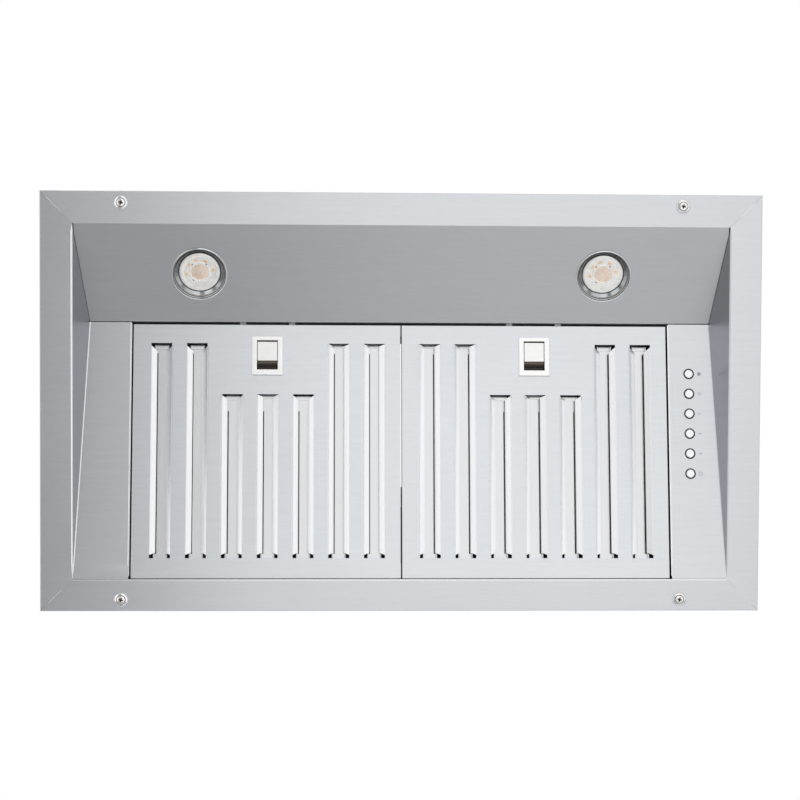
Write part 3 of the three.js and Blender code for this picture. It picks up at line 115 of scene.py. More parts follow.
# how far a lip stays clear of its slot's end, and its chamfer there
LIP_ENDS = {"long": (3.0, 4.6), "short": (1.4, 2.6), "plain": (0.5, 1.5), "rear": (3.4, 2.4)}
TONGUE_FROM = {"long": 0.5, "short": 0.3, "plain": -1.5}  # from the slot's front
LIP_TILT = 39  # degrees
# width and heights of the dark lines of painted shade on the channel floors
SHADE_LINE_WIDTH = 1.1
SHADE_LINE_Z, TONGUE_Z = (10.75, 10.98), (10.7, 10.95)  # on the baffle's channel floors
TONGUE_HALF = 7
BUTTON_X = 294.9
MARK_X = 305.4
BUTTON_Y = [51.4 + 20.5 * i for i in range(6)]
LAMP_X, LAMP_Y, LAMP_HOLE_R = 204.4, 54, 26
LED_TURNS = (-2.5, -1.85, -1.1, -0.2, 3.0)
VENT_TURNS = (-2.3, -0.9, 2.2)


LIGHT_ANGLE = math.atan2(RECESS, DEEP.y + IN.y)
FILTER_ANGLE = math.atan2(RECESS, IN.y - DEEP.y)


def at(place, x, y, z=0):
    return place @ Matrix.Translation((x, y, z))


def spin(angle, axis="Z"):
    return Matrix.Rotation(angle, 4, axis)


# frames whose +Y runs along a sloping panel and whose +Z stands on it
LIGHT_FRAME = at(HOOD, 0, -IN.y) @ spin(LIGHT_ANGLE, "X")
FILTER_FRAME = at(HOOD, 0, DEEP.y, RECESS) @ spin(-FILTER_ANGLE, "X")


def filter_place(side):
    """A filter's own frame: x = 0 is its middle and z = 0 its lower face."""
    inverse = FILTER_FRAME.inverted()
    corners = [inverse @ (v.co / MM) for v in NODES["filter_face_" + side].data.vertices]
    lift = min(corner.z for corner in corners)
    x = (min(corner.x for corner in corners) + max(corner.x for corner in corners)) / 2
    return at(FILTER_FRAME, x, 0, lift)


def circle(steps):
    """Angles once round, with the last one on the first."""
    return [2 * math.pi * i / steps for i in range(steps + 1)]


def polar(radius, turn):
    return radius * math.cos(turn), radius * math.sin(turn)


# -------- mesh helpers
def new_object(name, data):
    ob = bpy.data.objects.new(name, data)
    bpy.context.scene.collection.objects.link(ob)
    return ob


def mesh_object(name, points, faces, place=HOOD):
    mesh = bpy.data.meshes.new(name)
    mesh.from_pydata([(place @ Vector(p)) * MM for p in points], [], faces)
    return new_object(name, mesh)


def tidy(ob, join=False):
    """Merge shared points, drop empty faces, turn the faces one way, and join flat ones if asked."""
    mesh = bmesh.new()
    mesh.from_mesh(ob.data)
    bmesh.ops.remove_doubles(mesh, verts=mesh.verts, dist=1e-6)
    bmesh.ops.dissolve_degenerate(mesh, edges=mesh.edges, dist=1e-6)
    bmesh.ops.recalc_face_normals(mesh, faces=mesh.faces)
    if join:
        bmesh.ops.dissolve_limit(mesh, angle_limit=math.radians(0.5), verts=mesh.verts, edges=mesh.edges)
    mesh.to_mesh(ob.data)
    mesh.free()
    return ob


def bake(ob):
    graph = bpy.context.evaluated_depsgraph_get()
    mesh = bpy.data.meshes.new_from_object(ob.evaluated_get(graph))
    ob.modifiers.clear()
    ob.data = mesh
    return ob


def smooth(ob, angle=32):
    ob.data.polygons.foreach_set("use_smooth", [True] * len(ob.data.polygons))
    ob.data.set_sharp_from_angle(angle=math.radians(angle))
    return ob


def soften(ob, width, segments=2, angle=40):
    """Round the sharp edges and keep flat faces flat."""
    bevel = ob.modifiers.new("edges", "BEVEL")
    bevel.width = width * MM
    bevel.segments = segments
    bevel.limit_method = "ANGLE"
    bevel.angle_limit = math.radians(angle)
    bevel.use_clamp_overlap = True
    bake(ob)
    ob.data.polygons.foreach_set("use_smooth", [True] * len(ob.data.polygons))
    weighted = ob.modifiers.new("normals", "WEIGHTED_NORMAL")
    weighted.weight = 80
    return bake(ob)


def sheet(ob, thickness=SHEET, down=True):
    """Give a surface its metal, away from the side that is seen."""
    tidy(ob)
    facing = sum(face.normal.z * face.area for face in ob.data.polygons)
    if (facing > 0) == down:
        ob.data.flip_normals()
    solid = ob.modifiers.new("sheet", "SOLIDIFY")
    solid.thickness = thickness * MM
    solid.offset = -1
    return bake(ob)


def cut(ob, *cutters):
    for cutter in cutters:
        hole = ob.modifiers.new("hole", "BOOLEAN")
        hole.operation = "DIFFERENCE"
        hole.solver = "EXACT"
        hole.object = cutter
        bake(ob)
        bpy.data.objects.remove(cutter)
    return ob


def grid(rows):
    """Points and faces of a surface through rows of equally many points."""
    width = len(rows[0])
    points = [p for row in rows for p in row]
    faces = [(i * width + j, i * width + j + 1, (i + 1) * width + j + 1, (i + 1) * width + j)
             for i in range(len(rows) - 1) for j in range(width - 1)]
    return points, faces


def together(*patches):
    """Several patches as one list of points and one of faces."""
    points, faces = [], []
    for patch_points, patch_faces in patches:
        start = len(points)
        points += patch_points
        faces += [tuple(start + i for i in face) for face in patch_faces]
    return points, faces


def rounded(corners, radii, steps=5):
    """The polyline through the corners, with an arc of its radius at each inner corner."""
    points = [Vector(corners[0])]
    for i, radius in enumerate(radii, 1):
        corner = Vector(corners[i])
        if radius == 0:
            points += [corner.copy() for _ in range(steps + 1)]
            continue
        before = (Vector(corners[i - 1]) - corner).normalized()
        after = (Vector(corners[i + 1]) - corner).normalized()
        half = before.angle(after) / 2
        run = radius / math.tan(half)
        centre = corner + (before + after).normalized() * (radius / math.sin(half))
        start = (corner + before * run - centre).normalized()
        end = (corner + after * run - centre).normalized()
        points += [centre + start.slerp(end, k / steps).normalized() * radius for k in range(steps + 1)]
    return points + [Vector(corners[-1])]


def lathe(name, profile, place, steps):
    """A turned piece. A profile that leaves the axis at both ends is closed round a bore."""
    bored = profile[0][0] > 0 and profile[-1][0] > 0
    ring = profile + [profile[0]] if bored else profile
    rows = [[(*polar(r, turn), z) for r, z in ring] for turn in circle(steps)]
    return tidy(mesh_object(name, *grid(rows), place))


def block(name, one, other, place):
    """A cutter, or the start of a softened block, between two opposite corners."""
    low, high = zip(*(sorted(pair) for pair in zip(one, other)))
    points = [(x, y, z) for x in (low[0], high[0]) for y in (low[1], high[1]) for z in (low[2], high[2])]
    faces = [(0, 1, 3, 2), (4, 6, 7, 5), (0, 4, 5, 1), (2, 3, 7, 6), (0, 2, 6, 4), (1, 5, 7, 3)]
    return tidy(mesh_object(name, points, faces, place))


def cylinder_cutter(radius, low, high, place, steps=64):
    return lathe("cutter", [(0, low), (radius, low), (radius, high), (0, high)], place, steps)


def tube(name, path, radius, place):
    """A round wire along a path, with a low point on each end."""
    sides = 10
    path = [Vector(p) for p in path]
    last = len(path) - 1
    tangents = [(path[min(i + 1, last)] - path[max(i - 1, 0)]).normalized() for i in range(last + 1)]
    side = tangents[0].orthogonal().normalized()
    rows = []
    for i, (point, tangent) in enumerate(zip(path, tangents)):
        side = (side - tangent * side.dot(tangent)).normalized()
        other = tangent.cross(side)
        rows.append([point + (side * math.cos(turn) + other * math.sin(turn)) * radius
                     for turn in circle(sides)])
    tip, tail = path[0] - tangents[0] * radius * 0.5, path[-1] + tangents[-1] * radius * 0.5
    rows = [[tip] * (sides + 1)] + rows + [[tail] * (sides + 1)]
    return smooth(tidy(mesh_object(name, *grid(rows), place)), 50)


def paint(ob, material):
    ob.data.materials.clear()
    ob.data.materials.append(material)


def piece(ob, material, *nodes):
    """Let a new object stand for CAD nodes and move with them."""
    for vertex in ob.data.vertices:
        vertex.co = [min(max(c, low), high) for c, low, high in zip(vertex.co, *CAD_BOX)]
    paint(ob, material)
    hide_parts(*nodes)
    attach(ob, BODY_OF[nodes[0]])


def second_material(ob, material, inside):
    """Give the faces whose middle is inside a region another material; here it paints highlights or shade on
    part of a surface.
    """
    ob.data.materials.append(material)
    for face in ob.data.polygons:
        if inside(face.center / MM, face.normal):
            face.material_index = len(ob.data.materials) - 1


def near_axis(place, limit):
    """Whether a point lies nearer to a turned piece's axis than the limit."""
    inverse = place.inverted()
    return lambda point, normal: math.hypot(*(inverse @ point).xy) < limit


def detail(ob, material, body="hood", slot="galvanised"):
    """A new object that stands for no CAD node."""
    paint(ob, material)
    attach(ob, body)


def bar(name, one, other, place, width, material, body="hood", slot="galvanised", segments=2):
    """A softened block as a detail."""
    detail(soften(block(name, one, other, place), width, segments), material, body, slot)


def turned(name, profile, place, steps, width, material, body="hood", slot="galvanised"):
    """A softened turned piece as a detail."""
    detail(soften(lathe(name, profile, place, steps), width), material, body, slot)


# -------- materials
class Nodes:
    """A node tree that is built up by calls."""

    def __init__(self, tree):
        self.tree = tree

    def fill(self, node, values):
        """Give sockets, by name or number, a constant or another node's output."""
        for key, value in values.items():
            if isinstance(value, bpy.types.NodeSocket):
                self.tree.links.new(value, node.inputs[key])
            else:
                node.inputs[key].default_value = value

    def node(self, kind, values=None, **settings):
        node = self.tree.nodes.new("ShaderNode" + kind)
        for key, value in settings.items():
            setattr(node, key, value)
        self.fill(node, values or {})
        return node

    def ranged(self, value, low, high, low_in=0.3, high_in=0.7):
        values = {"Value": value, "From Min": low_in, "From Max": high_in, "To Min": low, "To Max": high}
        return self.node("MapRange", values).outputs["Result"]

    def math(self, operation, a, b):
        return self.node("Math", {0: a, 1: b}, operation=operation).outputs[0]


class Build(Nodes):
    """A material's tree, with its shader and its object coordinates at hand."""

    def __init__(self, name):
        self.material = bpy.data.materials.new(name)
        self.material.use_nodes = True
        super().__init__(self.material.node_tree)
        self.shader = self.tree.nodes["Principled BSDF"]
        self.place = self.node("TexCoord").outputs["Object"]

    def set(self, values):
        self.fill(self.shader, values)

    def noise(self, scale, detail=3, rough=0.5, stretch=(1, 1, 1)):
        place = self.node("Mapping", {"Vector": self.place, "Scale": stretch}).outputs["Vector"]
        values = {"Vector": place, "Scale": scale, "Detail": detail, "Roughness": rough}
        return self.node("TexNoise", values).outputs["Fac"]

    def mixed(self, a, share_a, b, share_b):
        return self.math("ADD", self.math("MULTIPLY", a, share_a), self.math("MULTIPLY", b, share_b))

    def between(self, value, dark, light):
        values = {0: value, 6: (*dark, 1), 7: (*light, 1)}
        return self.node("Mix", values, data_type="RGBA").outputs[2]

    def bump(self, height, distance, strength):
        values = {"Height": height, "Distance": distance, "Strength": strength}
        return self.node("Bump", values).outputs["Normal"]

    def worn_edges(self, size):
        """1 on convex edges, 0 on flats."""
        soft = self.node("Bevel", {"Radius": size}, samples=4).outputs["Normal"]
        sharp = self.node("NewGeometry").outputs["Normal"]
        dot = self.node("VectorMath", {0: soft, 1: sharp}, operation="DOT_PRODUCT")
        return self.ranged(dot.outputs["Value"], 1, 0, 0.8, 1)

    def with_edges(self, mix, share):
        """A mix as a tone that rises a little on worn edges."""
        edges = self.math("MULTIPLY", self.worn_edges(0.0004), share)
        return self.math("ADD", self.ranged(mix, 0, 0.8), edges)

    def finish(self, color, rough, normal=None):
        self.set({"Base Color": color, "Roughness": rough})
        if normal:
            self.set({"Normal": normal})
        return self.material


def shade(color, factor):
    return tuple(min(1, channel * factor) for channel in color)


def brushed(name, color, along="x", rough=0.3, anisotropic=0.6, grain=0.04):
    """Brushed sheet: fine scratches along one axis, faint smudges and slow unevenness."""
    build = Build(name)
    fine = (90, 1100, 1100) if along == "x" else (1100, 90, 1100)
    coarse = (14, 240, 240) if along == "x" else (240, 14, 240)
    scratches = build.noise(1, 4, 0.6, fine)
    bands = build.noise(1, 2, stretch=coarse)
    smudges = build.noise(7, 4, 0.6)
    both = build.mixed(scratches, 0.65, bands, 0.35)
    tone = build.between(build.ranged(both, 0, 1), shade(color, 1 - grain), shade(color, 1 + grain))
    roughness = build.math("ADD", build.ranged(scratches, rough - 0.015, rough + 0.015),
                           build.ranged(smudges, -0.01, 0.015))
    across = (0.01, 1, 0.35) if along == "x" else (1, 0.01, 0)
    tangent = build.node("CombineXYZ", dict(enumerate(across))).outputs[0]
    build.set({"Metallic": 1, "Anisotropic": anisotropic, "Tangent": tangent})
    return build.finish(tone, roughness, build.bump(scratches, 0.00002, 0.2))


def polished(name, color, rough=0.12, grain=0.03):
    """Drawn or plated metal with light handling marks and slightly brighter worn edges."""
    build = Build(name)
    marks = build.noise(160, 5, 0.65)
    mix = build.mixed(marks, 0.6, build.noise(22, 2), 0.4)
    tone = build.between(build.with_edges(mix, 0.2), shade(color, 1 - grain), shade(color, 1 + grain))
    build.set({"Metallic": 1})
    return build.finish(tone, build.ranged(mix, rough, rough + 0.1), build.bump(marks, 0.00001, 0.2))


def galvanised(name, color):
    """Zinc-coated sheet: crystal spangle in tone and roughness, faint stains."""
    build = Build(name)
    spangle = build.node("TexVoronoi", {"Vector": build.place, "Scale": 150, "Randomness": 1})
    crystal = build.node("SeparateColor", {0: spangle.outputs["Color"]})
    stains = build.noise(6, 5, 0.6)
    mix = build.mixed(crystal.outputs[0], 0.45, stains, 0.45)
    mix = build.math("ADD", mix, build.math("MULTIPLY", build.worn_edges(0.0006), 0.15))
    tone = build.between(build.ranged(mix, 0, 1, 0.1, 0.9), shade(color, 0.88), shade(color, 1.07))
    build.set({"Metallic": 0.9})
    return build.finish(tone, build.ranged(mix, 0.55, 0.36, 0.1, 0.9), build.bump(stains, 0.00006, 0.5))


def plastic(name, color, rough=0.4, fleck=0.06):
    """Moulded plastic: fine spark-eroded texture, slow tone change and paler worn edges."""
    build = Build(name)
    texture = build.noise(1800, 2)
    mix = build.mixed(texture, 0.4, build.noise(30), 0.6)
    tone = build.between(build.with_edges(mix, 0.3), shade(color, 1 - fleck),
                         tuple(min(1, c * (1 + fleck) + 0.01) for c in color))
    roughness = build.ranged(mix, rough - 0.05, rough + 0.07)
    return build.finish(tone, roughness, build.bump(texture, 0.00002, 0.5))


def painted(name, color):
    """Stoved paint with orange peel and dust."""
    build = Build(name)
    peel = build.noise(500, 1)
    dust = build.noise(40, 6, 0.7)
    tone = build.between(build.ranged(dust, 0, 1), shade(color, 0.8), tuple(c * 1.1 + 0.015 for c in color))
    build.set({"Coat Weight": 0.3})
    return build.finish(tone, build.ranged(dust, 0.3, 0.5), build.bump(peel, 0.00005, 0.5))


PAINTED_REFLECTION_SPAN = (-0.150, -0.106)  # Y in metres where the painted reflection in a lamp's ring is darkest and brightest


def painted_reflection_ring(name):
    """Painted reflection on a lamp's deep metallised ring: dark towards the hood's front, bright towards its
    rear.
    """
    build = Build(name)
    axes = build.node("SeparateXYZ", {0: build.place})
    across = build.ranged(axes.outputs["Y"], 0, 1, *PAINTED_REFLECTION_SPAN)
    marks = build.noise(300, 4)
    share = build.math("ADD", across, build.ranged(marks, -0.06, 0.06))
    tone = build.between(share, (0.05, 0.055, 0.06), (0.60, 0.62, 0.63))
    build.set({"Metallic": 1})
    return build.finish(tone, build.ranged(marks, 0.14, 0.2), build.bump(marks, 0.00003, 0.3))


def circuit(name, color):
    """Lacquered circuit board with faint copper tracks."""
    build = Build(name)
    values = {"Vector": build.place, "Scale": 260, "Mortar Size": 0.06}
    tracks = build.node("TexBrick", values, offset=0.5)
    weave = build.noise(900, 2)
    mix = build.mixed(tracks.outputs["Fac"], 0.7, weave, 0.3)
    tone = build.between(mix, shade(color, 0.85), shade(color, 1.7))
    build.set({"Coat Weight": 0.4})
    return build.finish(tone, build.ranged(weave, 0.3, 0.42), build.bump(mix, 0.00004, 0.4))


def lens(name, color, glow):
    """Moulded lens: fine prisms, mottled frosting and a faint painted glow; the bulb is not lit."""
    build = Build(name)
    mix = build.noise(170, 2)
    tone = build.between(build.ranged(mix, 0, 1), shade(color, 0.86), shade(color, 1.06))
    # the emission is a painted glow
    build.set({"Metallic": 0.45, "Emission Color": (*glow, 1), "Emission Strength": 0.22, "Coat Weight": 0.5})
    return build.finish(tone, build.ranged(mix, 0.2, 0.34), build.bump(mix, 0.00005, 0.2))


STEEL = (0.685, 0.702, 0.73)
STEEL_X = brushed("steel_brushed_across", STEEL)
PANEL_STEEL = brushed("steel_panel", STEEL, rough=0.34)
# darker copy of the panel steel for the sloping light panel: painted shade
SHADED_LIGHT_PANEL_STEEL = brushed("steel_light_panel_painted_shade", shade(STEEL, 0.9), rough=0.34)
FILTER_STEEL = brushed("steel_filter", shade(STEEL, 1.07), rough=0.33)
BRIGHT_STEEL = brushed("steel_bright", (0.74, 0.745, 0.755), "y", rough=0.2, anisotropic=0.4)
ZINC = galvanised("zinc_spangle", (0.64, 0.66, 0.68))
NICKEL = polished("nickel_satin", (0.90, 0.89, 0.87), 0.16)
CHROME = polished("chrome", (0.86, 0.87, 0.88), 0.07)
MOTOR_PAINT = painted("motor_paint", (0.05, 0.055, 0.06))
WHITE = plastic("plastic_white", (0.80, 0.80, 0.78))
SATIN = polished("chrome_satin", (0.92, 0.92, 0.915), 0.2, 0.01)
THUMB = polished("chrome_thumb", (0.87, 0.87, 0.865), 0.2, 0.01)
# near-white steel for bends, edges and lips: painted highlight
HIGHLIGHT_STEEL = brushed("steel_painted_highlight", (0.96, 0.965, 0.975), "y", rough=0.2, anisotropic=0.3, grain=0.02)
# darker copy of the steel for the side walls: painted shade
SHADED_WALL_STEEL = brushed("steel_side_wall_painted_shade", (0.44, 0.445, 0.475))
SATIN_WHITE = plastic("plastic_satin", (0.90, 0.90, 0.89), 0.28, 0.02)
BLACK = plastic("plastic_black", (0.018, 0.018, 0.02), 0.36, 0.2)
BROWN = plastic("plastic_brown", (0.030, 0.016, 0.008), 0.45, 0.2)
# paler brown for the slider's heel: a painted reflection
BROWN_REFLECTION = plastic("plastic_brown_painted_reflection", (0.15, 0.12, 0.09), 0.4, 0.3)
CABLE = plastic("cable_grey", (0.30, 0.31, 0.32), 0.5)
BOARD = circuit("board_green", (0.03, 0.13, 0.07))
ZINC_SCREW = polished("screw_zinc", (0.66, 0.65, 0.62), 0.24)
CAN = polished("aluminium_drawn", (0.74, 0.75, 0.76), 0.26)
# lenses, the warm centre and the LEDs all carry the painted glow
LENS = lens("lens_frosted", (0.93, 0.925, 0.90), (1, 0.99, 0.97))
LENS_WARM = lens("lens_warm", (0.90, 0.76, 0.66), (0.9, 0.70, 0.58))
LED = lens("led_amber", (0.93, 0.70, 0.50), (1, 0.66, 0.42))
SHADE = polished("nickel_in_shade", (0.055, 0.052, 0.05), 0.4)
BRIGHT_NICKEL = polished("nickel_bright", (0.94, 0.93, 0.92), 0.1)
# dark steel of the prongs, also painted shade on the latch frame's rear edge
PRONG_STEEL_AND_SHADE = polished("prong_steel_and_painted_shade", (0.34, 0.34, 0.35), 0.3)
# the lamp cones' colour is a painted reflection
PAINTED_REFLECTION = painted_reflection_ring("lamp_painted_reflection")
PRINT = plastic("print_grey", (0.36, 0.36, 0.37), 0.5)
PRINT_PALE = plastic("print_pale", (0.55, 0.55, 0.56), 0.5)

BY_SLOT = {"brushed_sheet": FILTER_STEEL, "galvanised": ZINC, "nickel": NICKEL, "chrome": CHROME,
           "motor_paint": MOTOR_PAINT, "white_plastic": WHITE, "black_plastic": BLACK, "board": BOARD,
           "capacitor_can": CAN, "lens": LENS, "cable": CABLE}


def dress_nodes():
    """Every CAD node gets its slot's material; the ones that are replaced are hidden later."""
    for name, ob in NODES.items():
        paint(ob, BY_SLOT.get(SLOT_OF[name], CABLE))


# -------- rim and recess
SIDE_LEAN = (IN.x - DEEP.x) / RECESS
HEM_CORNERS = [(RIM.y - HEM, 2), (RIM.y, 2), (RIM.y, 0)]
SIDE_STRIP = [(RIM.x - HEM, 2), (RIM.x, 2), (RIM.x, 0), (IN.x, 0)]


def mitre_x(y):
    return abs(y) + RIM.x - RIM.y


def end_panel(name, profile, limit):
    """A sheet whose Y-Z profile runs between its mitred ends."""
    rows = [[(-limit(y, z), y, z), (limit(y, z), y, z)] for y, z in profile]
    return sheet(mesh_object(name, *grid(rows)))


def screw_holes(s):
    return [cylinder_cutter(SCREW_HOLE_R, -1, 4, at(HOOD, t * SCREW.x, s * SCREW.y), 32)
            for t in (-1, 1)]


def front_panel():
    hem = [(-y, z) for y, z in HEM_CORNERS]
    meet = FILTER_FRAME @ Vector((0, -GAP, -GAP * math.tan(LIGHT_ANGLE + FILTER_ANGLE)))
    top = FILTER_FRAME @ Vector((0, -GAP, LEDGE))
    corners = hem + [(-IN.y, 0), (meet.y, meet.z), (top.y, top.z)]
    profile = rounded(corners, [HEM_R, HEM_R, FOLD_R, FOLD_R])
    along = (Vector((meet.y, meet.z)) - Vector((-IN.y, 0))).normalized()
    fold_end = max(i for i, p in enumerate(profile) if p.y < 2)
    profile[fold_end + 1:fold_end + 1] = [Vector((-IN.y, 0)) + along * run for run in (4, 9)]

    def limit(y, z):
        if y < -IN.y:
            return mitre_x(y) - MITRE
        relief = max(0, 1 - (y + IN.y) / CORNER_RELIEF.y) * CORNER_RELIEF.x
        return min(IN.x - SIDE_LEAN * z, IN.x) - SEAM - relief

    panel = end_panel("liner_front", profile, limit)
    lamps = [cylinder_cutter(LAMP_HOLE_R, -9, 9, at(LIGHT_FRAME, s * LAMP_X, LAMP_Y)) for s in (-1, 1)]
    prongs = [block("cutter", (x - 3.9, -4, 4.7), (x + 3.9, 2, 6.9), FILTER_FRAME)
              for s in (-1, 1) for x in (s * FILTER_X - PRONG_X, s * FILTER_X + PRONG_X)]
    cut(panel, *lamps, *prongs, *screw_holes(-1))
    piece(soften(panel, 0.25), PANEL_STEEL, "front_panel")
    # the light panel's faces are painted a shade darker than the rest of the same sheet
    second_material(panel, SHADED_LIGHT_PANEL_STEEL, lambda point, normal: point.y > -IN.y + 0.3 and normal.z < -0.5)


def rear_panel():
    corners = HEM_CORNERS + [(IN.y + 1.3, 0), (IN.y + 0.35, 0)]
    profile = rounded(corners[:-1], [HEM_R, HEM_R]) + [Vector(corners[-1])]
    panel = end_panel("liner_rear", profile, lambda y, z: mitre_x(y) - MITRE)
    cut(panel, *screw_holes(1))
    piece(soften(panel, 0.3), STEEL_X, "rear_panel")
    # the rear sheet's inner edge faces get the near-white steel: painted highlight
    second_material(panel, HIGHLIGHT_STEEL, lambda point, normal: point.y < IN.y + 1.35 and normal.z < -0.2)


def opening_beads():
    """Welts along the sides of the filters' opening, in near-white steel as a painted highlight."""
    for side, s in SIDES.items():
        bar("opening_bead_" + side, (s * (OPENING_X - 0.65), 1.5, 0.1),
            (s * (OPENING_X + 0.2), FILTER_RUN - 3, 2), FILTER_FRAME,
            0.12, HIGHLIGHT_STEEL, "hood", "brushed_sheet")


def rear_shade_strip():
    """Thin black strip between the rear sheet's edge and the filters: painted shade for the shadow line
    there.
    """
    bar("filter_shade_strip", (0.3 - OPENING_X, IN.y - 0.55, 0.15), (OPENING_X - 0.3, IN.y + 0.3, 1.15),
        HOOD, 0.1, BLACK, "hood", "black_plastic")


def wall_height(y):
    if y < DEEP.y:
        return (y + IN.y) * math.tan(LIGHT_ANGLE)
    return RECESS - (y - DEEP.y) * math.tan(FILTER_ANGLE)


def side_section(y, upstand):
    """Corners from the hem to the trim's upstand, at one place along the side."""
    height = wall_height(y)
    corners = SIDE_STRIP + [(IN.x - SIDE_LEAN * height, height), (OPENING_X, height),
                            (OPENING_X, height + upstand)]
    fold = min(FOLD_R, 0.6 * height)
    return rounded(corners, [HEM_R, HEM_R, fold, min(1, 0.4 * height), TRIM_FOLD_R if upstand else 0])


def side_panel(side):
    s = SIDES[side]
    arc = 6  # points in each rounded corner
    strip, wall = 1 + 2 * arc, 1 + 3 * arc
    seam_y = DEEP.y + GAP

    def row(y, points, count):
        return [(s * max(p[0], mitre_x(y) + MITRE if abs(y) > IN.y else 0), y, p[1]) for p in points[:count]]

    flat = rounded(SIDE_STRIP, [HEM_R, HEM_R])
    mitre_y = [RIM.y - 2 * MITRE, RIM.y - 1, RIM.y - HEM, IN.y]
    front = [row(-y, flat, strip + 1) for y in mitre_y]
    rear = [row(y, flat, strip + 1) for y in reversed(mitre_y)]
    front_y = [-IN.y, -IN.y + 3, -IN.y + 8, -130, seam_y - 2.5, seam_y]
    beside_lamps = []
    for y in front_y:
        points = side_section(min(y, seam_y - 0.01), TRIM_UPSTAND)
        across, top = points[wall] if y < seam_y else side_section(seam_y, TRIM_UPSTAND)[wall]
        if -IN.y < y < seam_y:
            top = max(0, top - GAP)
        beside_lamps.append(row(y, points, wall) + [(s * across, y, top)])
    turn = math.cos(FILTER_ANGLE)
    upstand_end = DEEP.y + (FILTER_RUN - TRIM_UPSTAND) * turn
    stations = [(seam_y, TRIM_UPSTAND), (upstand_end, TRIM_UPSTAND), (upstand_end + 1.5, 0), (IN.y - 3, 0),
                (IN.y, 0)]
    trim = [row(y, side_section(y, upstand), None) for y, upstand in stations]
    surface = together(grid(front), grid(beside_lamps), grid(trim), grid(rear))
    ob = sheet(mesh_object("liner_" + side, *surface))
    if s > 0:
        cut(ob, *[cylinder_cutter(5.5, -6, 6, at(FILTER_FRAME, BUTTON_X, y), 48) for y in BUTTON_Y])
    piece(soften(ob, 0.2), STEEL_X, side + "_panel")

    # the side walls' faces get the darker steel: painted shade
    def painted_shade_on_wall(point, normal):
        return s * normal.x < -0.8 and 0.6 < point.z and s * point.x > DEEP.x - 1

    def painted_highlight_on_fold(point, normal):
        """Painted highlights on the bends: at the filters' opening, and on the left at the rim and along the
        trim.
        """
        across, tilt = s * point.x, -s * normal.x
        at_rim = IN.x - 1.5 < across < IN.x + 1.6 and point.z < 2 and tilt > 0.12
        at_trim = point.z > wall_height(point.y) - 1.3 and across > DEEP.x - 2 and 0.12 < tilt < 0.93
        at_opening = OPENING_X - 1 < across < OPENING_X + 1.2 and point.z > 1 and tilt > 0.12
        return normal.z < -0.2 and (at_opening or s < 0 and (at_rim or at_trim))

    second_material(ob, SHADED_WALL_STEEL, painted_shade_on_wall)
    second_material(ob, HIGHLIGHT_STEEL, painted_highlight_on_fold)


# -------- screws
def screw(corner, place):
    profile = [(0, -3.15), (1.6, -3.12), (2.9, -3.0), (3.8, -2.8), (4.2, -2.6), (4.3, -2.45),
               (2, -0.8), (2, 12), (0.4, 16), (0, 16)]
    body = lathe("screw_" + corner, profile, place, 48)
    for x, y in ((2.2, 0.75), (0.75, 2.2)):
        cut(body, block("cutter", (-x, -y, -5), (x, y, -1.9), place @ spin(0.25)))
    piece(soften(body, 0.1), NICKEL, "rim_screw_" + corner)
    inverse = place.inverted()

    def in_shade(point, normal):
        point = inverse @ point
        r = math.hypot(point.x, point.y)
        return (r < 2.4 and -2.95 < point.z < -1.5) or (r > 4.05 and point.z > -2.62)

    second_material(body, SHADE, in_shade)


def washer(corner, place):
    cup = rounded([(2.6, -0.7), (4.85, -2.3), (6.25, -1.9), (7, -0.9), (7, -0.3)], [0.5, 0.7, 0.4], 4)
    body = soften(lathe("washer_" + corner, cup + [(2.6, -0.3)], place, 64), 0.08)
    piece(body, BRIGHT_NICKEL, "rim_washer_" + corner)
    second_material(body, SHADE, near_axis(place, 4.75))


def screws():
    for end, t in (("front", -1), ("rear", 1)):
        for side, s in SIDES.items():
            place = at(HOOD, s * SCREW.x, t * SCREW.y)
            screw(f"{end}_{side}", place)
            washer(f"{end}_{side}", place)


# -------- filters
def slot_front(i):
    return SLOT_FRONT_SHORT if 2 <= i <= 4 else SLOT_FRONT


def slot_end(side, i):
    """Which front end a slot has: the middle one and the two nearest the other filter are closed."""
    nearest = (5, 6) if SIDES[side] < 0 else (0, 1)
    if i == 3 or i in nearest:
        return "plain"
    return "short" if i in (2, 4) else "long"


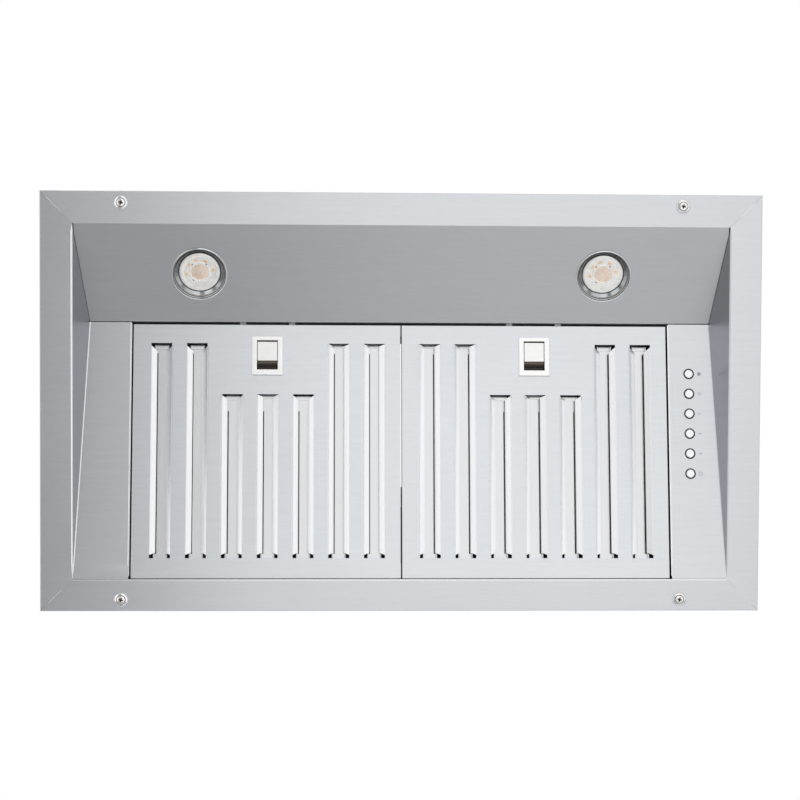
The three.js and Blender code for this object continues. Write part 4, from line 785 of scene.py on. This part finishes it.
def face_surface(side):
    """The face's sheet: a plate of cells round its holes, rounded skirts and leaning lips."""
    chance = random.Random(side)
    corner = FACE_CORNER
    latch_x, latch_from, latch_to = LATCH_HOLE
    slots = [(x, slot_front(i)) for i, x in enumerate(SLOT_X)]
    xs = sorted([corner - FACE_HALF, FACE_HALF - corner, -latch_x, latch_x]
                + [x + t * SLOT_HALF for x, _ in slots for t in (-1, 1)])
    ys = sorted([FACE_FROM + corner, FACE_TO - corner, latch_from, latch_to, SLOT_FRONT, SLOT_FRONT_SHORT]
                + [SLOT_FRONT + LIP_ENDS[key][0] for key in ("plain", "long")]
                + [SLOT_FRONT_SHORT + LIP_ENDS[key][0] for key in ("plain", "short")]
                + [SLOT_REAR - LIP_ENDS["rear"][0], SLOT_REAR])

    def open_cell(x, y):
        in_slot = any(abs(x - slot_x) < SLOT_HALF and front < y < SLOT_REAR for slot_x, front in slots)
        return in_slot or (abs(x) < latch_x and latch_from < y < latch_to)

    points = [(x, y, 0) for y in ys for x in xs]
    faces = []
    for j in range(len(ys) - 1):
        for i in range(len(xs) - 1):
            if not open_cell((xs[i] + xs[i + 1]) / 2, (ys[j] + ys[j + 1]) / 2):
                a = j * len(xs) + i
                faces.append((a, a + 1, a + 1 + len(xs), a + len(xs)))
    patches = [(points, faces)]

    edge = rounded([(corner, 0), (0, 0), (0, FACE_HEIGHT)], [corner])
    low, high = (xs[0], ys[0]), (xs[-1], ys[-1])

    def ring(inset, z):
        shift = corner - inset
        x0, x1, y0, y1 = low[0] - shift, high[0] + shift, low[1] - shift, high[1] + shift
        across, along = [x0, *xs[1:-1], x1], [y0, *ys[1:-1], y1]
        there = [(x, y0, z) for x in across] + [(x1, y, z) for y in along[1:]]
        return there + [(x, y1, z) for x in across[-2::-1]] + [(x0, y, z) for y in along[-2::-1]]

    patches.append(grid([ring(inset, z) for inset, z in edge]))

    for i, (x, front) in enumerate(slots):
        front_end, front_chamfer = LIP_ENDS[slot_end(side, i)]
        rear_end, rear_chamfer = LIP_ENDS["rear"]
        for t in (-1, 1):
            tilt = math.radians(LIP_TILT + chance.uniform(-1.5, 1.5))
            run = LIP_RUN / math.cos(math.radians(LIP_TILT))
            tip = (run * math.cos(tilt), run * math.sin(tilt))
            profile = rounded([(-1, 0), (0, 0), tip], [1])
            profile[0] = Vector((0, 0))
            rows = []
            for d, z in profile[:1] + profile[2:]:
                share = max(0, z) / tip[1]
                across = x + t * (SLOT_HALF - d)
                rows.append([(across, front + front_end + front_chamfer * share, z),
                             (across, SLOT_REAR - rear_end - rear_chamfer * share, z)])
            patches.append(grid(rows))
    return together(*patches)


def filter_face(side, place):
    ob = mesh_object("filter_sheet_" + side, *face_surface(side), place)
    sheet(ob, 0.9)
    piece(soften(ob, 0.15, angle=50), FILTER_STEEL, "filter_face_" + side)
    inverse = place.inverted()
    # the leaning lips get the near-white steel: painted highlight
    second_material(ob, HIGHLIGHT_STEEL, lambda point, normal: abs(normal.x) > 0.25
                    and (inverse @ point).z < 8 and abs((inverse @ point).x) < FACE_HALF - 3)


def channel_shade_lines(side, place):
    """Dark line of painted shade along each channel's floor, beside the lip that is farther from the middle.
    """
    s = SIDES[side]
    for i, x in enumerate(SLOT_X):
        lip_edge = x + s * (SLOT_HALF - LIP_RUN)
        start = slot_front(i) + (16 if 2 <= i <= 4 else 9)
        bar(f"shade_line_{side}_{i}", (lip_edge, start, SHADE_LINE_Z[0]),
            (lip_edge - s * SHADE_LINE_WIDTH, SLOT_REAR - 5, SHADE_LINE_Z[1]),
            place, 0.08, SHADE, "filter_" + side, "brushed_sheet")


def channel_ends(side, place):
    """Tongue at the front of each channel."""
    for i, x in enumerate(SLOT_X):
        start = slot_front(i) + TONGUE_FROM[slot_end(side, i)]
        bar(f"tongue_{side}_{i}", (x - TONGUE_HALF, start, TONGUE_Z[0]),
            (x + TONGUE_HALF, start + 4.5, TONGUE_Z[1]),
            place, 0.08, BRIGHT_STEEL, "filter_" + side, "brushed_sheet")


def middle_edge(place):
    """Bead in near-white steel as a painted highlight along the left filter's edge, between two dark pads of
    painted shade that face the other filter.
    """
    arc = [(FACE_HALF - FACE_CORNER + 0.82 * math.cos(turn), FACE_CORNER - 0.82 * math.sin(turn))
           for turn in (0, 0.3, 0.6, 0.9, 1.22)]
    outline = arc + [(FACE_HALF + 0.55, arc[-1][1]), (FACE_HALF + 0.55, 2), (arc[0][0], 2)]
    count = len(outline)
    for name, start, end, material in (("filter_shade_front", 13.5, 21, SHADE),
                                       ("filter_bead", 21.4, 168, HIGHLIGHT_STEEL),
                                       ("filter_shade_rear", 188, 245, SHADE)):
        points = [(x, y, z) for y in (start, end) for x, z in outline]
        faces = [tuple(range(count)), tuple(range(count, 2 * count))]
        faces += [(k, (k + 1) % count, count + (k + 1) % count, count + k) for k in range(count)]
        strip = tidy(mesh_object(name, points, faces, place))
        detail(soften(strip, 0.08), material, "filter_left", "brushed_sheet")


def bezel(side, place):
    """Frame under the face with a dark collar, its clips and the spring's stop inside; its rear edge faces
    are painted with shade.
    """
    def windowed(name, low, high):
        half, front, rear = LATCH_WINDOW
        window = block("cutter", (-half, front, -4), (half, rear, 4), place)
        return cut(block(name + side, low, high, place), window)

    plate = windowed("latch_frame_", (-15.7, 14, -1.3), (15.7, 54, -0.3))
    piece(soften(plate, 0.55, 3), SATIN, "latch_bezel_" + side)
    inverse = place.inverted()
    # the frame's rear edge faces get the dark prong steel: painted shade
    second_material(plate, PRONG_STEEL_AND_SHADE, lambda point, normal: (inverse @ point).y > 53.3
                    and (inverse.to_3x3() @ normal).y > 0.3)
    dark = (BROWN, "filter_" + side, "black_plastic")
    half, front, rear = LATCH_COLLAR
    detail(soften(windowed("latch_collar_", (-half, front, -0.4), (half, rear, 2.6)), 0.2), *dark)
    bar("latch_floor_" + side, (-12.4, 44.4, 4.74), (12.4, 51.6, 4.94), place, 0.04, *dark)
    bar("latch_stop_" + side, (-4, rear - 1.4, 2.4), (4, rear, TAB_TOP), place, 0.3, *dark)
    for s in (-1, 1):
        bar(f"latch_clip_{side}_{s + 1}", (s * (half - 1.1), 22, 2.4), (s * half, 40, 6.2), place, 0.2, *dark)


def slider(side, place):
    """Pale thumb block on a dark carriage with its crossbar, prongs and tab."""
    thumb = block("latch_thumb_" + side, (-10.15, 19.6, -0.6), (10.15, 39.2, 3.2), place)
    piece(soften(thumb, 0.45, 3), THUMB, "latch_slide_" + side)
    low, high = CARRIAGE_Z
    # the heel is drawn in the paler brown as a painted reflection band
    for name, one, other, width, material in (
            ("heel", (-10.1, 39.3, 1.1), (10.1, 41.9, 3.2), 0.2, BROWN_REFLECTION),
            ("carriage", (-12, 9, low), (12, 44, high), 0.25, BROWN),
            ("crossbar", (-28.3, 9, low + 0.02), (28.3, CROSSBAR_REAR, high - 0.02), 0.25, BROWN),
            ("tab", (-4, CROSSBAR_REAR, high - 0.1), (4, 16.9, TAB_TOP), 0.25, BROWN)):
        bar(f"latch_{name}_{side}", one, other, place, width, material, "latch_" + side, "black_plastic")
    for s in (-1, 1):
        middle = s * PRONG_X
        bar(f"latch_prong_{side}_{s + 1}", (middle - PRONG_HALF, -2.8, low + 0.04),
            (middle + PRONG_HALF, 10, high - 0.04), place, 0.45, PRONG_STEEL_AND_SHADE, "latch_" + side, "nickel", 3)


def spring(side, place):
    """Compression spring, coiled evenly from end to end."""
    turns, steps = 6, 24
    first, last = SPRING_ENDS
    path = []
    for i in range(turns * steps + 1):
        turn = 2 * math.pi * i / steps
        path.append((SPRING_R * math.cos(turn), first + (last - first) * i / (turns * steps),
                     SPRING_Z + SPRING_R * math.sin(turn)))
    coil = tube("spring_" + side, path, SPRING_WIRE, place)
    piece(coil, CHROME, "latch_spring_" + side)
    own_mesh(coil)


def filters():
    for side in SIDES:
        place = filter_place(side)
        for make in (filter_face, channel_shade_lines, channel_ends, bezel, slider, spring):
            make(side, place)
    middle_edge(filter_place("left"))


# -------- lamps
def faceted(points, from_r, to_r, depth):
    """A ring of lens facets: every other spoke of the profile's middle lies deeper."""
    return grid([[(*polar(r, turn), z + (depth if i % 2 and from_r < r < to_r else 0)) for r, z in points]
                 for i, turn in enumerate(circle(96))])


def lamp_ring(side, place):
    """Turned trim ring: bright bead outside with a line of painted shade at its inner edge, and a cone inside
    painted with a reflection.
    """
    bead = rounded([(26.6, 0), (26.9, -1.3), (28.2, -1.0), (28.2, -0.3)], [0.5, 0.6], 4)
    profile = bead + [(25.7, -0.3), (25.7, 9), (24.9, 9), (24.9, 0.6), (26.3, 0.2)]
    rim = soften(lathe("lamp_bead_" + side, profile, place, 96), 0.1)
    piece(rim, CHROME, "lamp_ring_" + side)
    # faces near the axis get the dark material: a painted shade line round the bead's inner edge
    second_material(rim, SHADE, near_axis(place, 26.85))
    wall = rounded([(26.55, -0.45), (25.9, -0.7), (24.4, 2.2), (21.5, 5.0)], [0.4, 2], 4)
    back = [(21.5, 5.4), (24.8, 2.6), (26.5, -0.2)]
    # the cone's colour is a painted reflection, dark towards the front and bright towards the rear
    turned("lamp_cone_" + side, wall + back, place, 96, 0.05, PAINTED_REFLECTION, "hood", "chrome")


def around(place, radius, turn):
    """Frame on a circle, turned to face outwards."""
    return at(place, *polar(radius, turn)) @ spin(turn)


def lamp_bulb(side, place):
    """Bulb with a ring of painted shade at its rim, a ring of facets, a raised collar and a warm centre."""
    node = "lamp_bulb_" + side
    on_bulb = (BODY_OF[node], SLOT_OF[node])
    shell = [(0, 7), (22, 7), (24.2, 6.4), (24.2, 7), (17, 28), (14, 32), (12, 44), (0, 44)]
    piece(soften(lathe("lamp_shell_" + side, shell, place, 96), 0.15), SATIN_WHITE, node)
    # dark ring at the rim: painted shade
    shade_ring = [(20.5, 4.9), (21.6, 4.9), (21.6, 7.1), (20.5, 7.1)]
    turned("lamp_shade_ring_" + side, shade_ring, place, 96, 0.05, SHADE, *on_bulb)
    profile = [(10.5, 4.5), (12.2, 4.9), (14.0, 4.1), (15.8, 4.9), (17.6, 4.0), (19.6, 4.2), (20.6, 4.9),
               (20.6, 6.0), (10.5, 6.0), (10.5, 4.5)]
    optic = tidy(mesh_object("lamp_optic_" + side, *faceted(profile, 12, 19.3, 0.25), place))
    detail(soften(optic, 0.05, angle=60), LENS, *on_bulb)
    collar = rounded([(8.8, 5.8), (8.8, 4.0), (10.6, 4.0), (10.6, 5.8)], [0.5, 0.5], 4)
    turned("lamp_collar_" + side, collar, place, 72, 0.05, LENS, *on_bulb)
    disc = [(0, 4.2), (5, 4.3), (9.0, 4.8), (9.0, 5.8), (0, 5.8)]
    turned("lamp_centre_" + side, disc, place, 64, 0.15, LENS_WARM, *on_bulb)
    for i, turn in enumerate(LED_TURNS):
        spot = around(place, 13.4, turn)
        bar(f"lamp_led_{side}_{i}", (-1.5, -1.9, 4.1), (1.5, 1.9, 4.7), spot, 0.55, LED, *on_bulb, 3)
    # vents are dark bars in the material used for painted shade
    for i, turn in enumerate(VENT_TURNS):
        spot = around(place, 10.9, turn)
        bar(f"lamp_vent_{side}_{i}", (-0.35, -0.9, 3.95), (0.35, 0.9, 4.5), spot, 0.15, SHADE, *on_bulb)


def lamp(side):
    place = at(LIGHT_FRAME, SIDES[side] * LAMP_X, LAMP_Y)
    lamp_ring(side, place)
    lamp_bulb(side, place)


# -------- buttons
def button(i, y):
    name = f"button_{i + 1}"
    cap = rounded([(0, -1.2), (3.8, -1.2), (4.3, -0.7), (4.3, 8.3)], [0.9, 0.4], 4)
    profile = cap + [(5.8, 8.3), (5.8, 9.5), (1.5, 9.5), (1.5, 10.7), (0, 10.7)]
    piece(soften(lathe(name + "_cap", profile, at(FILTER_FRAME, BUTTON_X, y), 64), 0.1), CHROME, name)


def mark(i, y):
    """Small generic print beside a button: a dot, bars or a ring."""
    place = at(FILTER_FRAME, MARK_X, y)
    name = f"mark_{i + 1}"
    low, high = -0.03, 0.02
    if i in (0, 5):
        inner, outer = (0, 1.9) if i == 0 else (1.6, 2.2)
        shapes = [lathe(name, [(inner, low), (outer, low), (outer, high), (inner, high)], place, 32)]
    else:
        rows = (-0.95, 0.95) if i == 1 else (0,)
        shapes = [block(f"{name}_{k}", (-1.6, row - 0.35, low), (1.6, row + 0.35, high), place)
                  for k, row in enumerate(rows)]
    for shape in shapes:
        detail(soften(shape, 0.01, 1), PRINT if i in (3, 4) else PRINT_PALE, "hood", "black_plastic")


def buttons():
    for i, y in enumerate(BUTTON_Y):
        button(i, y)
        mark(i, y)


# -------- casing, duct and blower
OUTLET_Y, ROD_Z, SKIRT_SCREW_Z = 60.294, 286.3, 257
OUTLET = at(HOOD, 0, OUTLET_Y)
BLOWER = at(HOOD, 0, -6, 172) @ Matrix(((0, 0, 1, 0), (1, 0, 0, 0), (0, 1, 0, 0), (0, 0, 0, 1)))
ROD_PLACE = at(OUTLET, 0, 0, ROD_Z) @ spin(math.pi / 2, "Y")
COLLAR_R, COLLAR_Z, COLLAR_TOP = 75, 263.3, 318.3
FLAP_R, KNUCKLE_R = 72, 3.3
KNUCKLES = {"front": (-46, 46), "rear": (-32, 32)}
WHEEL_R, WHEEL_INNER_R, WHEEL_HALF, BLADES = 75, 60, 45, 20
RING_WIDTH, BLADE_HALF, BLADE_SWEEP = 1.5, 44.6, 0.16
THROAT_R, INLET_FACE = 53, 49.5
MOTOR_R, MOTOR_REAR, MOTOR_FRONT = 40, -84, -14
MOTOR_SLOTS = 10
CAN_R, STRAP_X = 17.5, (162, 174)  # the capacitor, and both edges of its strap
LID = Vector((341.3, 188.3))  # half its width and depth


def copied(node, width, material, segments=2):
    """A CAD node's shape with its flat faces joined and its edges rounded."""
    ob = tidy(new_object(node + "_finish", NODES[node].data.copy()), join=True)
    piece(soften(ob, width, segments, 30), material, node)


def sheet_screws():
    """Washer-head screws along the lid's skirt and at the collar's corners."""
    profile = [(0, 2.6), (2.6, 2.4), (3.1, 2.0), (3.2, 0.9), (4.6, 0.6), (4.7, 0), (0, 0)]
    places = []
    for s in (-1, 1):
        for x in (-290, -100, 100, 290):
            spot = at(HOOD, x, s * LID.y, SKIRT_SCREW_Z)
            places.append(spot @ spin(-s * math.pi / 2, "X"))
        for y in (-130, 130):
            spot = at(HOOD, s * LID.x, y, SKIRT_SCREW_Z)
            places.append(spot @ spin(s * math.pi / 2, "Y"))
        for t in (-1, 1):
            places.append(at(OUTLET, s * 78, t * 78, 264.3))
    for i, place in enumerate(places):
        head = lathe(f"lid_screw_{i}", profile, place, 24)
        cut(head, block("cutter", (-4, -0.5, 1.7), (4, 0.5, 4), place))
        detail(soften(head, 0.12), ZINC_SCREW, "hood", "nickel")


def casing():
    for node in ("casing_front", "casing_rear", "casing_left", "casing_right", "casing_lid", "scroll_housing",
                 "wiring_box", "wiring_box_cover"):
        copied(node, 0.35, ZINC)
    copied("motor_bracket", 0.5, MOTOR_PAINT)
    copied("lamp_driver", 0.8, WHITE, 3)
    copied("terminal_block", 0.3, WHITE)
    copied("control_board", 0.15, BOARD)
    for side in SIDES:
        copied("lamp_socket_" + side, 0.5, WHITE)
        copied("filter_baffle_" + side, 0.3, BRIGHT_STEEL)
    sheet_screws()


def collar():
    """Beaded tube with a lock seam on its square base, and the lugs that stop the flaps."""
    r, foot, top = COLLAR_R, COLLAR_Z, COLLAR_TOP
    bead = top - 14
    outside = rounded([(r + 3, foot + 1), (r, foot + 1.6), (r, bead - 2.6), (r + 1.6, bead - 1),
                       (r + 1.6, bead + 1), (r, bead + 2.6), (r, top)], [0.4, 1, 0.8, 0.8, 1], 4)
    inside = [(r - 0.95, top), (r - 0.95, foot), (r + 3, foot)]
    piece(soften(lathe("collar_tube", outside + inside, OUTLET, 96), 0.25), ZINC, "duct_collar")
    base = block("collar_base", (-86, -86, foot), (86, 86, foot + 1), OUTLET)
    cut(base, cylinder_cutter(r - 0.5, foot - 5, foot + 5, OUTLET, 96))
    detail(soften(base, 0.3), ZINC)
    bar("collar_seam", (-3, r - 0.4, foot + 1.2), (3, r + 0.7, bead - 3.4), OUTLET, 0.3, ZINC)
    for s in (-1, 1):
        for turn in (-0.6, 0.6):
            spot = OUTLET @ spin(s * math.pi / 2 + turn)
            bar(f"collar_lug_{s + 1}_{int(turn > 0)}", (66.3, -4, 283.6), (74.3, 4, 285.5), spot, 0.3, ZINC)


def flap(end):
    """Half a disc that hangs on the rod by two curled knuckles."""
    s = {"front": -1, "rear": 1}[end]
    body, place = "damper_" + end, at(OUTLET, 0, 0, ROD_Z)
    edge = KNUCKLE_R + 0.6
    start = math.asin(edge / FLAP_R)
    steps = 64
    rows = []
    for i in range(steps + 1):
        turn = start + i * (math.pi - 2 * start) / steps
        x, y = polar(FLAP_R, turn)
        rows.append([(x, s * edge, 0.38), (x, s * (y + edge) / 2, 0.38), (x, s * y, 0.38)])
    leaf = sheet(mesh_object("flap_" + end, *grid(rows), place), 0.76, False)
    piece(soften(leaf, 0.15), ZINC, "damper_flap_" + end)
    for x in KNUCKLES[end]:
        ring = [(2.3, x - 6), (KNUCKLE_R, x - 6), (KNUCKLE_R, x + 6), (2.3, x + 6)]
        turned(f"flap_knuckle_{end}_{int(x > 0)}", ring, ROD_PLACE, 32, 0.15, ZINC, body)
        bar(f"flap_neck_{end}_{int(x > 0)}", (x - 6, s * 2.9, -0.38), (x + 6, s * (edge + 1), 0.38), place,
            0.1, ZINC, body)


def damper():
    pin = [(0, -78), (1.6, -78), (2, -77.5), (2, 77.5), (1.6, 78), (0, 78)]
    piece(smooth(lathe("damper_pin", pin, ROD_PLACE, 32), 40), NICKEL, "damper_rod")
    for end in KNUCKLES:
        flap(end)


def bush():
    """Rubber grommet with grip rings."""
    place = at(HOOD, -245, 144, 263)
    corners = [(5, -7), (8.2, -7), (9.7, -5), (9.7, 0.3), (12.7, 0.3), (12.7, 2), (11.7, 3.5), (7.6, 6.9),
               (5, 7)]
    outline = rounded(corners, [0.8, 0.8, 0.3, 0.6, 0.8, 1.5, 0.8], 4)
    piece(soften(lathe("bush_body", outline, place, 64), 0.15), BLACK, "cable_bush")


def inlet_rings():
    """Rolled rings that lead the air into both ends of the wheel."""
    r, edge, face = THROAT_R, WHEEL_HALF, INLET_FACE
    outline = rounded([(r, edge - 1), (r + 1, face - 1), (r + 5, face + 1.2), (70, face + 1.2)], [2, 3], 6)
    under = rounded([(70, face), (r + 5.3, face), (r + 2.1, face - 2), (r + 1.2, edge - 1)], [2, 1], 6)
    for side, place in (("left", BLOWER @ spin(math.pi, "X")), ("right", BLOWER)):
        piece(soften(lathe("inlet_" + side, outline + under, place, 96), 0.15), ZINC, "inlet_ring_" + side)


def wheel():
    """Squirrel-cage wheel: hub, centre disc, curved blades and two end rings."""
    hub = [(4.3, -10), (10.4, -10), (11, -9.4), (11, -0.8), (74.6, -0.8), (74.9, 0), (74.6, 0.8), (11, 0.8),
           (11, 9.4), (10.4, 10), (4.3, 10)]
    piece(soften(lathe("wheel_hub", hub, BLOWER, 96), 0.2), ZINC, "impeller")
    for s in (-1, 1):
        low, high = sorted((s * WHEEL_HALF, s * (WHEEL_HALF - RING_WIDTH)))
        ring = [(67, low), (WHEEL_R, low), (WHEEL_R, high), (67, high)]
        turned(f"wheel_ring_{s + 1}", ring, BLOWER, 96, 0.3, ZINC, "impeller")
    patches = []
    for blade in range(BLADES):
        rows = []
        for i in range(7):
            share = i / 6
            r = WHEEL_INNER_R + share * (WHEEL_R - 0.8 - WHEEL_INNER_R)
            turn = 2 * math.pi * blade / BLADES + BLADE_SWEEP * share ** 2
            rows.append([(*polar(r, turn), z) for z in (-BLADE_HALF, BLADE_HALF)])
        patches.append(grid(rows))
    blades = sheet(mesh_object("wheel_blades", *together(*patches), BLOWER), 0.9)
    detail(soften(blades, 0.15), ZINC, "impeller")


def motor():
    """Painted motor shell with a rolled joint, end bosses and cooling slots."""
    r, rear, front = MOTOR_R, MOTOR_REAR, MOTOR_FRONT
    corners = [(0, rear), (14, rear), (16, rear + 4), (35, rear + 6), (r, rear + 10), (r, -50.6), (39.2, -50),
               (39.2, -48), (r, -47.4), (r, front - 10), (35, front - 5), (14, front - 4), (12, front),
               (0, front)]
    outline = rounded(corners, [0.8, 1.5, 2, 3, 0.2, 0.2, 0.2, 0.2, 3, 2, 1.5, 0.8], 4)
    shell = lathe("motor_shell", outline, BLOWER, 96)
    slots = []
    for i in range(MOTOR_SLOTS):
        spot = BLOWER @ spin(2 * math.pi * i / MOTOR_SLOTS)
        slots.append(block("cutter", (20, -1.6, rear - 2), (31, 1.6, rear + 8), spot))
    cut(shell, *slots)
    piece(soften(shell, 0.25), MOTOR_PAINT, "motor")
    shaft = [(0, -92), (3.4, -92), (4, -91.4), (4, 11.4), (3.4, 12), (0, 12)]
    piece(smooth(lathe("motor_spindle", shaft, BLOWER, 32), 40), CHROME, "motor_shaft")


def capacitor():
    """Drawn can with a rolled rim, and its strap."""
    place = at(HOOD, 138, OUTLET_Y, 242.7) @ spin(math.pi / 2, "Y")
    r = CAN_R
    corners = [(0, 0.6), (12, 0.6), (13, 0), (16, 0), (r, 1.5), (r, 4), (r - 0.6, 5), (r, 6), (r, 62),
               (0, 62)]
    outline = rounded(corners, [0.3, 0.3, 0.9, 0.9, 0.5, 0.5, 0.5, 1.2], 4)
    piece(smooth(lathe("capacitor_can", outline, place, 72), 40), CAN, "capacitor")
    strap = [(r - 0.1, 24), (r + 0.8, 24), (r + 0.8, 36), (r - 0.1, 36)]
    turned("capacitor_strap", strap, place, 72, 0.15, ZINC)
    low, high = STRAP_X
    bar("capacitor_foot", (low, 30.3, 260.7), (high, 90.3, 261.6), HOOD, 0.2, ZINC)
    bar("capacitor_neck", (low, 54.3, 251.7), (high, 66.3, 261.2), HOOD, 0.3, ZINC)


def loom():
    """The wiring, rounded."""
    ob = tidy(new_object("loom_run", NODES["wiring_loom"].data.copy()))
    rounder = ob.modifiers.new("round", "SUBSURF")
    rounder.levels = 1
    piece(smooth(bake(ob), 60), CABLE, "wiring_loom")


# -------- stage, light and camera
FLOOR_SEEN, FLOOR_MIRRORED = 0.6, 0.08
FLOOR_Z, FLOOR_HALF = -2760, 6000
WORLD_AS_LIGHT = 0.2
LIGHT_DEPTH = 2.6  # metres below the rim
CAMERA_PLACE = (-0.09766, -0.09548, -2.16277)  # metres
CAMERA_AIM, CAMERA_RIGHT = Vector((0.04386, 0.04278, 0.99812)), Vector((0.99903, -0.00514, -0.04368))


def stage():
    ends = (-FLOOR_HALF, FLOOR_HALF)
    floor = mesh_object("floor", *grid([[(x, y, FLOOR_Z) for x in ends] for y in ends]))
    build = Build("floor_paper")
    mottle = build.noise(3)
    tone = build.between(build.ranged(mottle, 0, 1), (0.80, 0.80, 0.80), (0.83, 0.83, 0.83))
    rays = build.node("LightPath").outputs
    mirrored = build.math("MAXIMUM", rays["Is Glossy Ray"], rays["Is Transmission Ray"])
    seen = build.math("MULTIPLY", rays["Is Camera Ray"], FLOOR_SEEN)
    glow = build.math("MAXIMUM", seen, build.math("MULTIPLY", mirrored, FLOOR_MIRRORED))
    build.set({"Emission Color": (1, 1, 1, 1), "Emission Strength": glow})
    paint(floor, build.finish(tone, build.ranged(mottle, 0.85, 0.95)))


def area_light(name, size, place, power):
    """A panel that faces the level of the rim."""
    light = bpy.data.lights.new(name, "AREA")
    light.shape = "RECTANGLE"
    light.size, light.size_y = size
    light.energy = power
    ob = new_object(name, light)
    ob.location = place
    ob.rotation_euler = Vector((0, 0, -place[2])).to_track_quat("-Z", "Y").to_euler()
    ob.visible_camera = False


def world():
    """White to the camera and in reflections, softer as light on the object."""
    studio = bpy.data.worlds.new("studio")
    bpy.context.scene.world = studio
    studio.use_nodes = True
    nodes = Nodes(studio.node_tree)
    rays = nodes.node("LightPath").outputs
    seen = nodes.math("MAXIMUM", rays["Is Camera Ray"], rays["Is Glossy Ray"])
    seen = nodes.math("MAXIMUM", seen, rays["Is Transmission Ray"])
    level = nodes.ranged(seen, WORLD_AS_LIGHT, 1, 0, 1)
    nodes.fill(nodes.tree.nodes["Background"], {"Color": (1, 1, 1, 1), "Strength": level})


def lights():
    world()
    for name, size, place, power in (
            ("under_main", (1.37, 4.9), (0.265, -1.35, -LIGHT_DEPTH), 16.2),
            ("under_right", (2.45, 4.9), (2.175, -1.35, -LIGHT_DEPTH), 21.9),
            ("under_left", (2.3, 4.9), (-2.45, -1.35, -LIGHT_DEPTH), 28),
            ("under_rear", (3.2, 3.4), (1.52, 3.3, -LIGHT_DEPTH), 11.2),
            ("over", (3.4, 3.4), (0.3, 0.2, 2.4), 36)):
        area_light(name, size, place, power)


def camera():
    data = bpy.data.cameras.new("camera")
    data.lens = 97.2
    data.sensor_width = 36
    data.clip_start = 0.01
    ob = new_object("camera", data)
    back = -CAMERA_AIM
    turn = Matrix((CAMERA_RIGHT, back.cross(CAMERA_RIGHT), back)).transposed().to_4x4()
    ob.matrix_world = at(HOOD, *CAMERA_PLACE) @ turn
    bpy.context.scene.camera = ob


dress_nodes()
front_panel()
rear_panel()
rear_shade_strip()
opening_beads()
for side in SIDES:
    side_panel(side)
    lamp(side)
screws()
filters()
buttons()
for make in (casing, collar, damper, bush, inlet_rings, wheel, motor, capacitor, loom):
    make()
stage()
lights()
camera()
bpy.context.scene.view_settings.view_transform = "Standard"
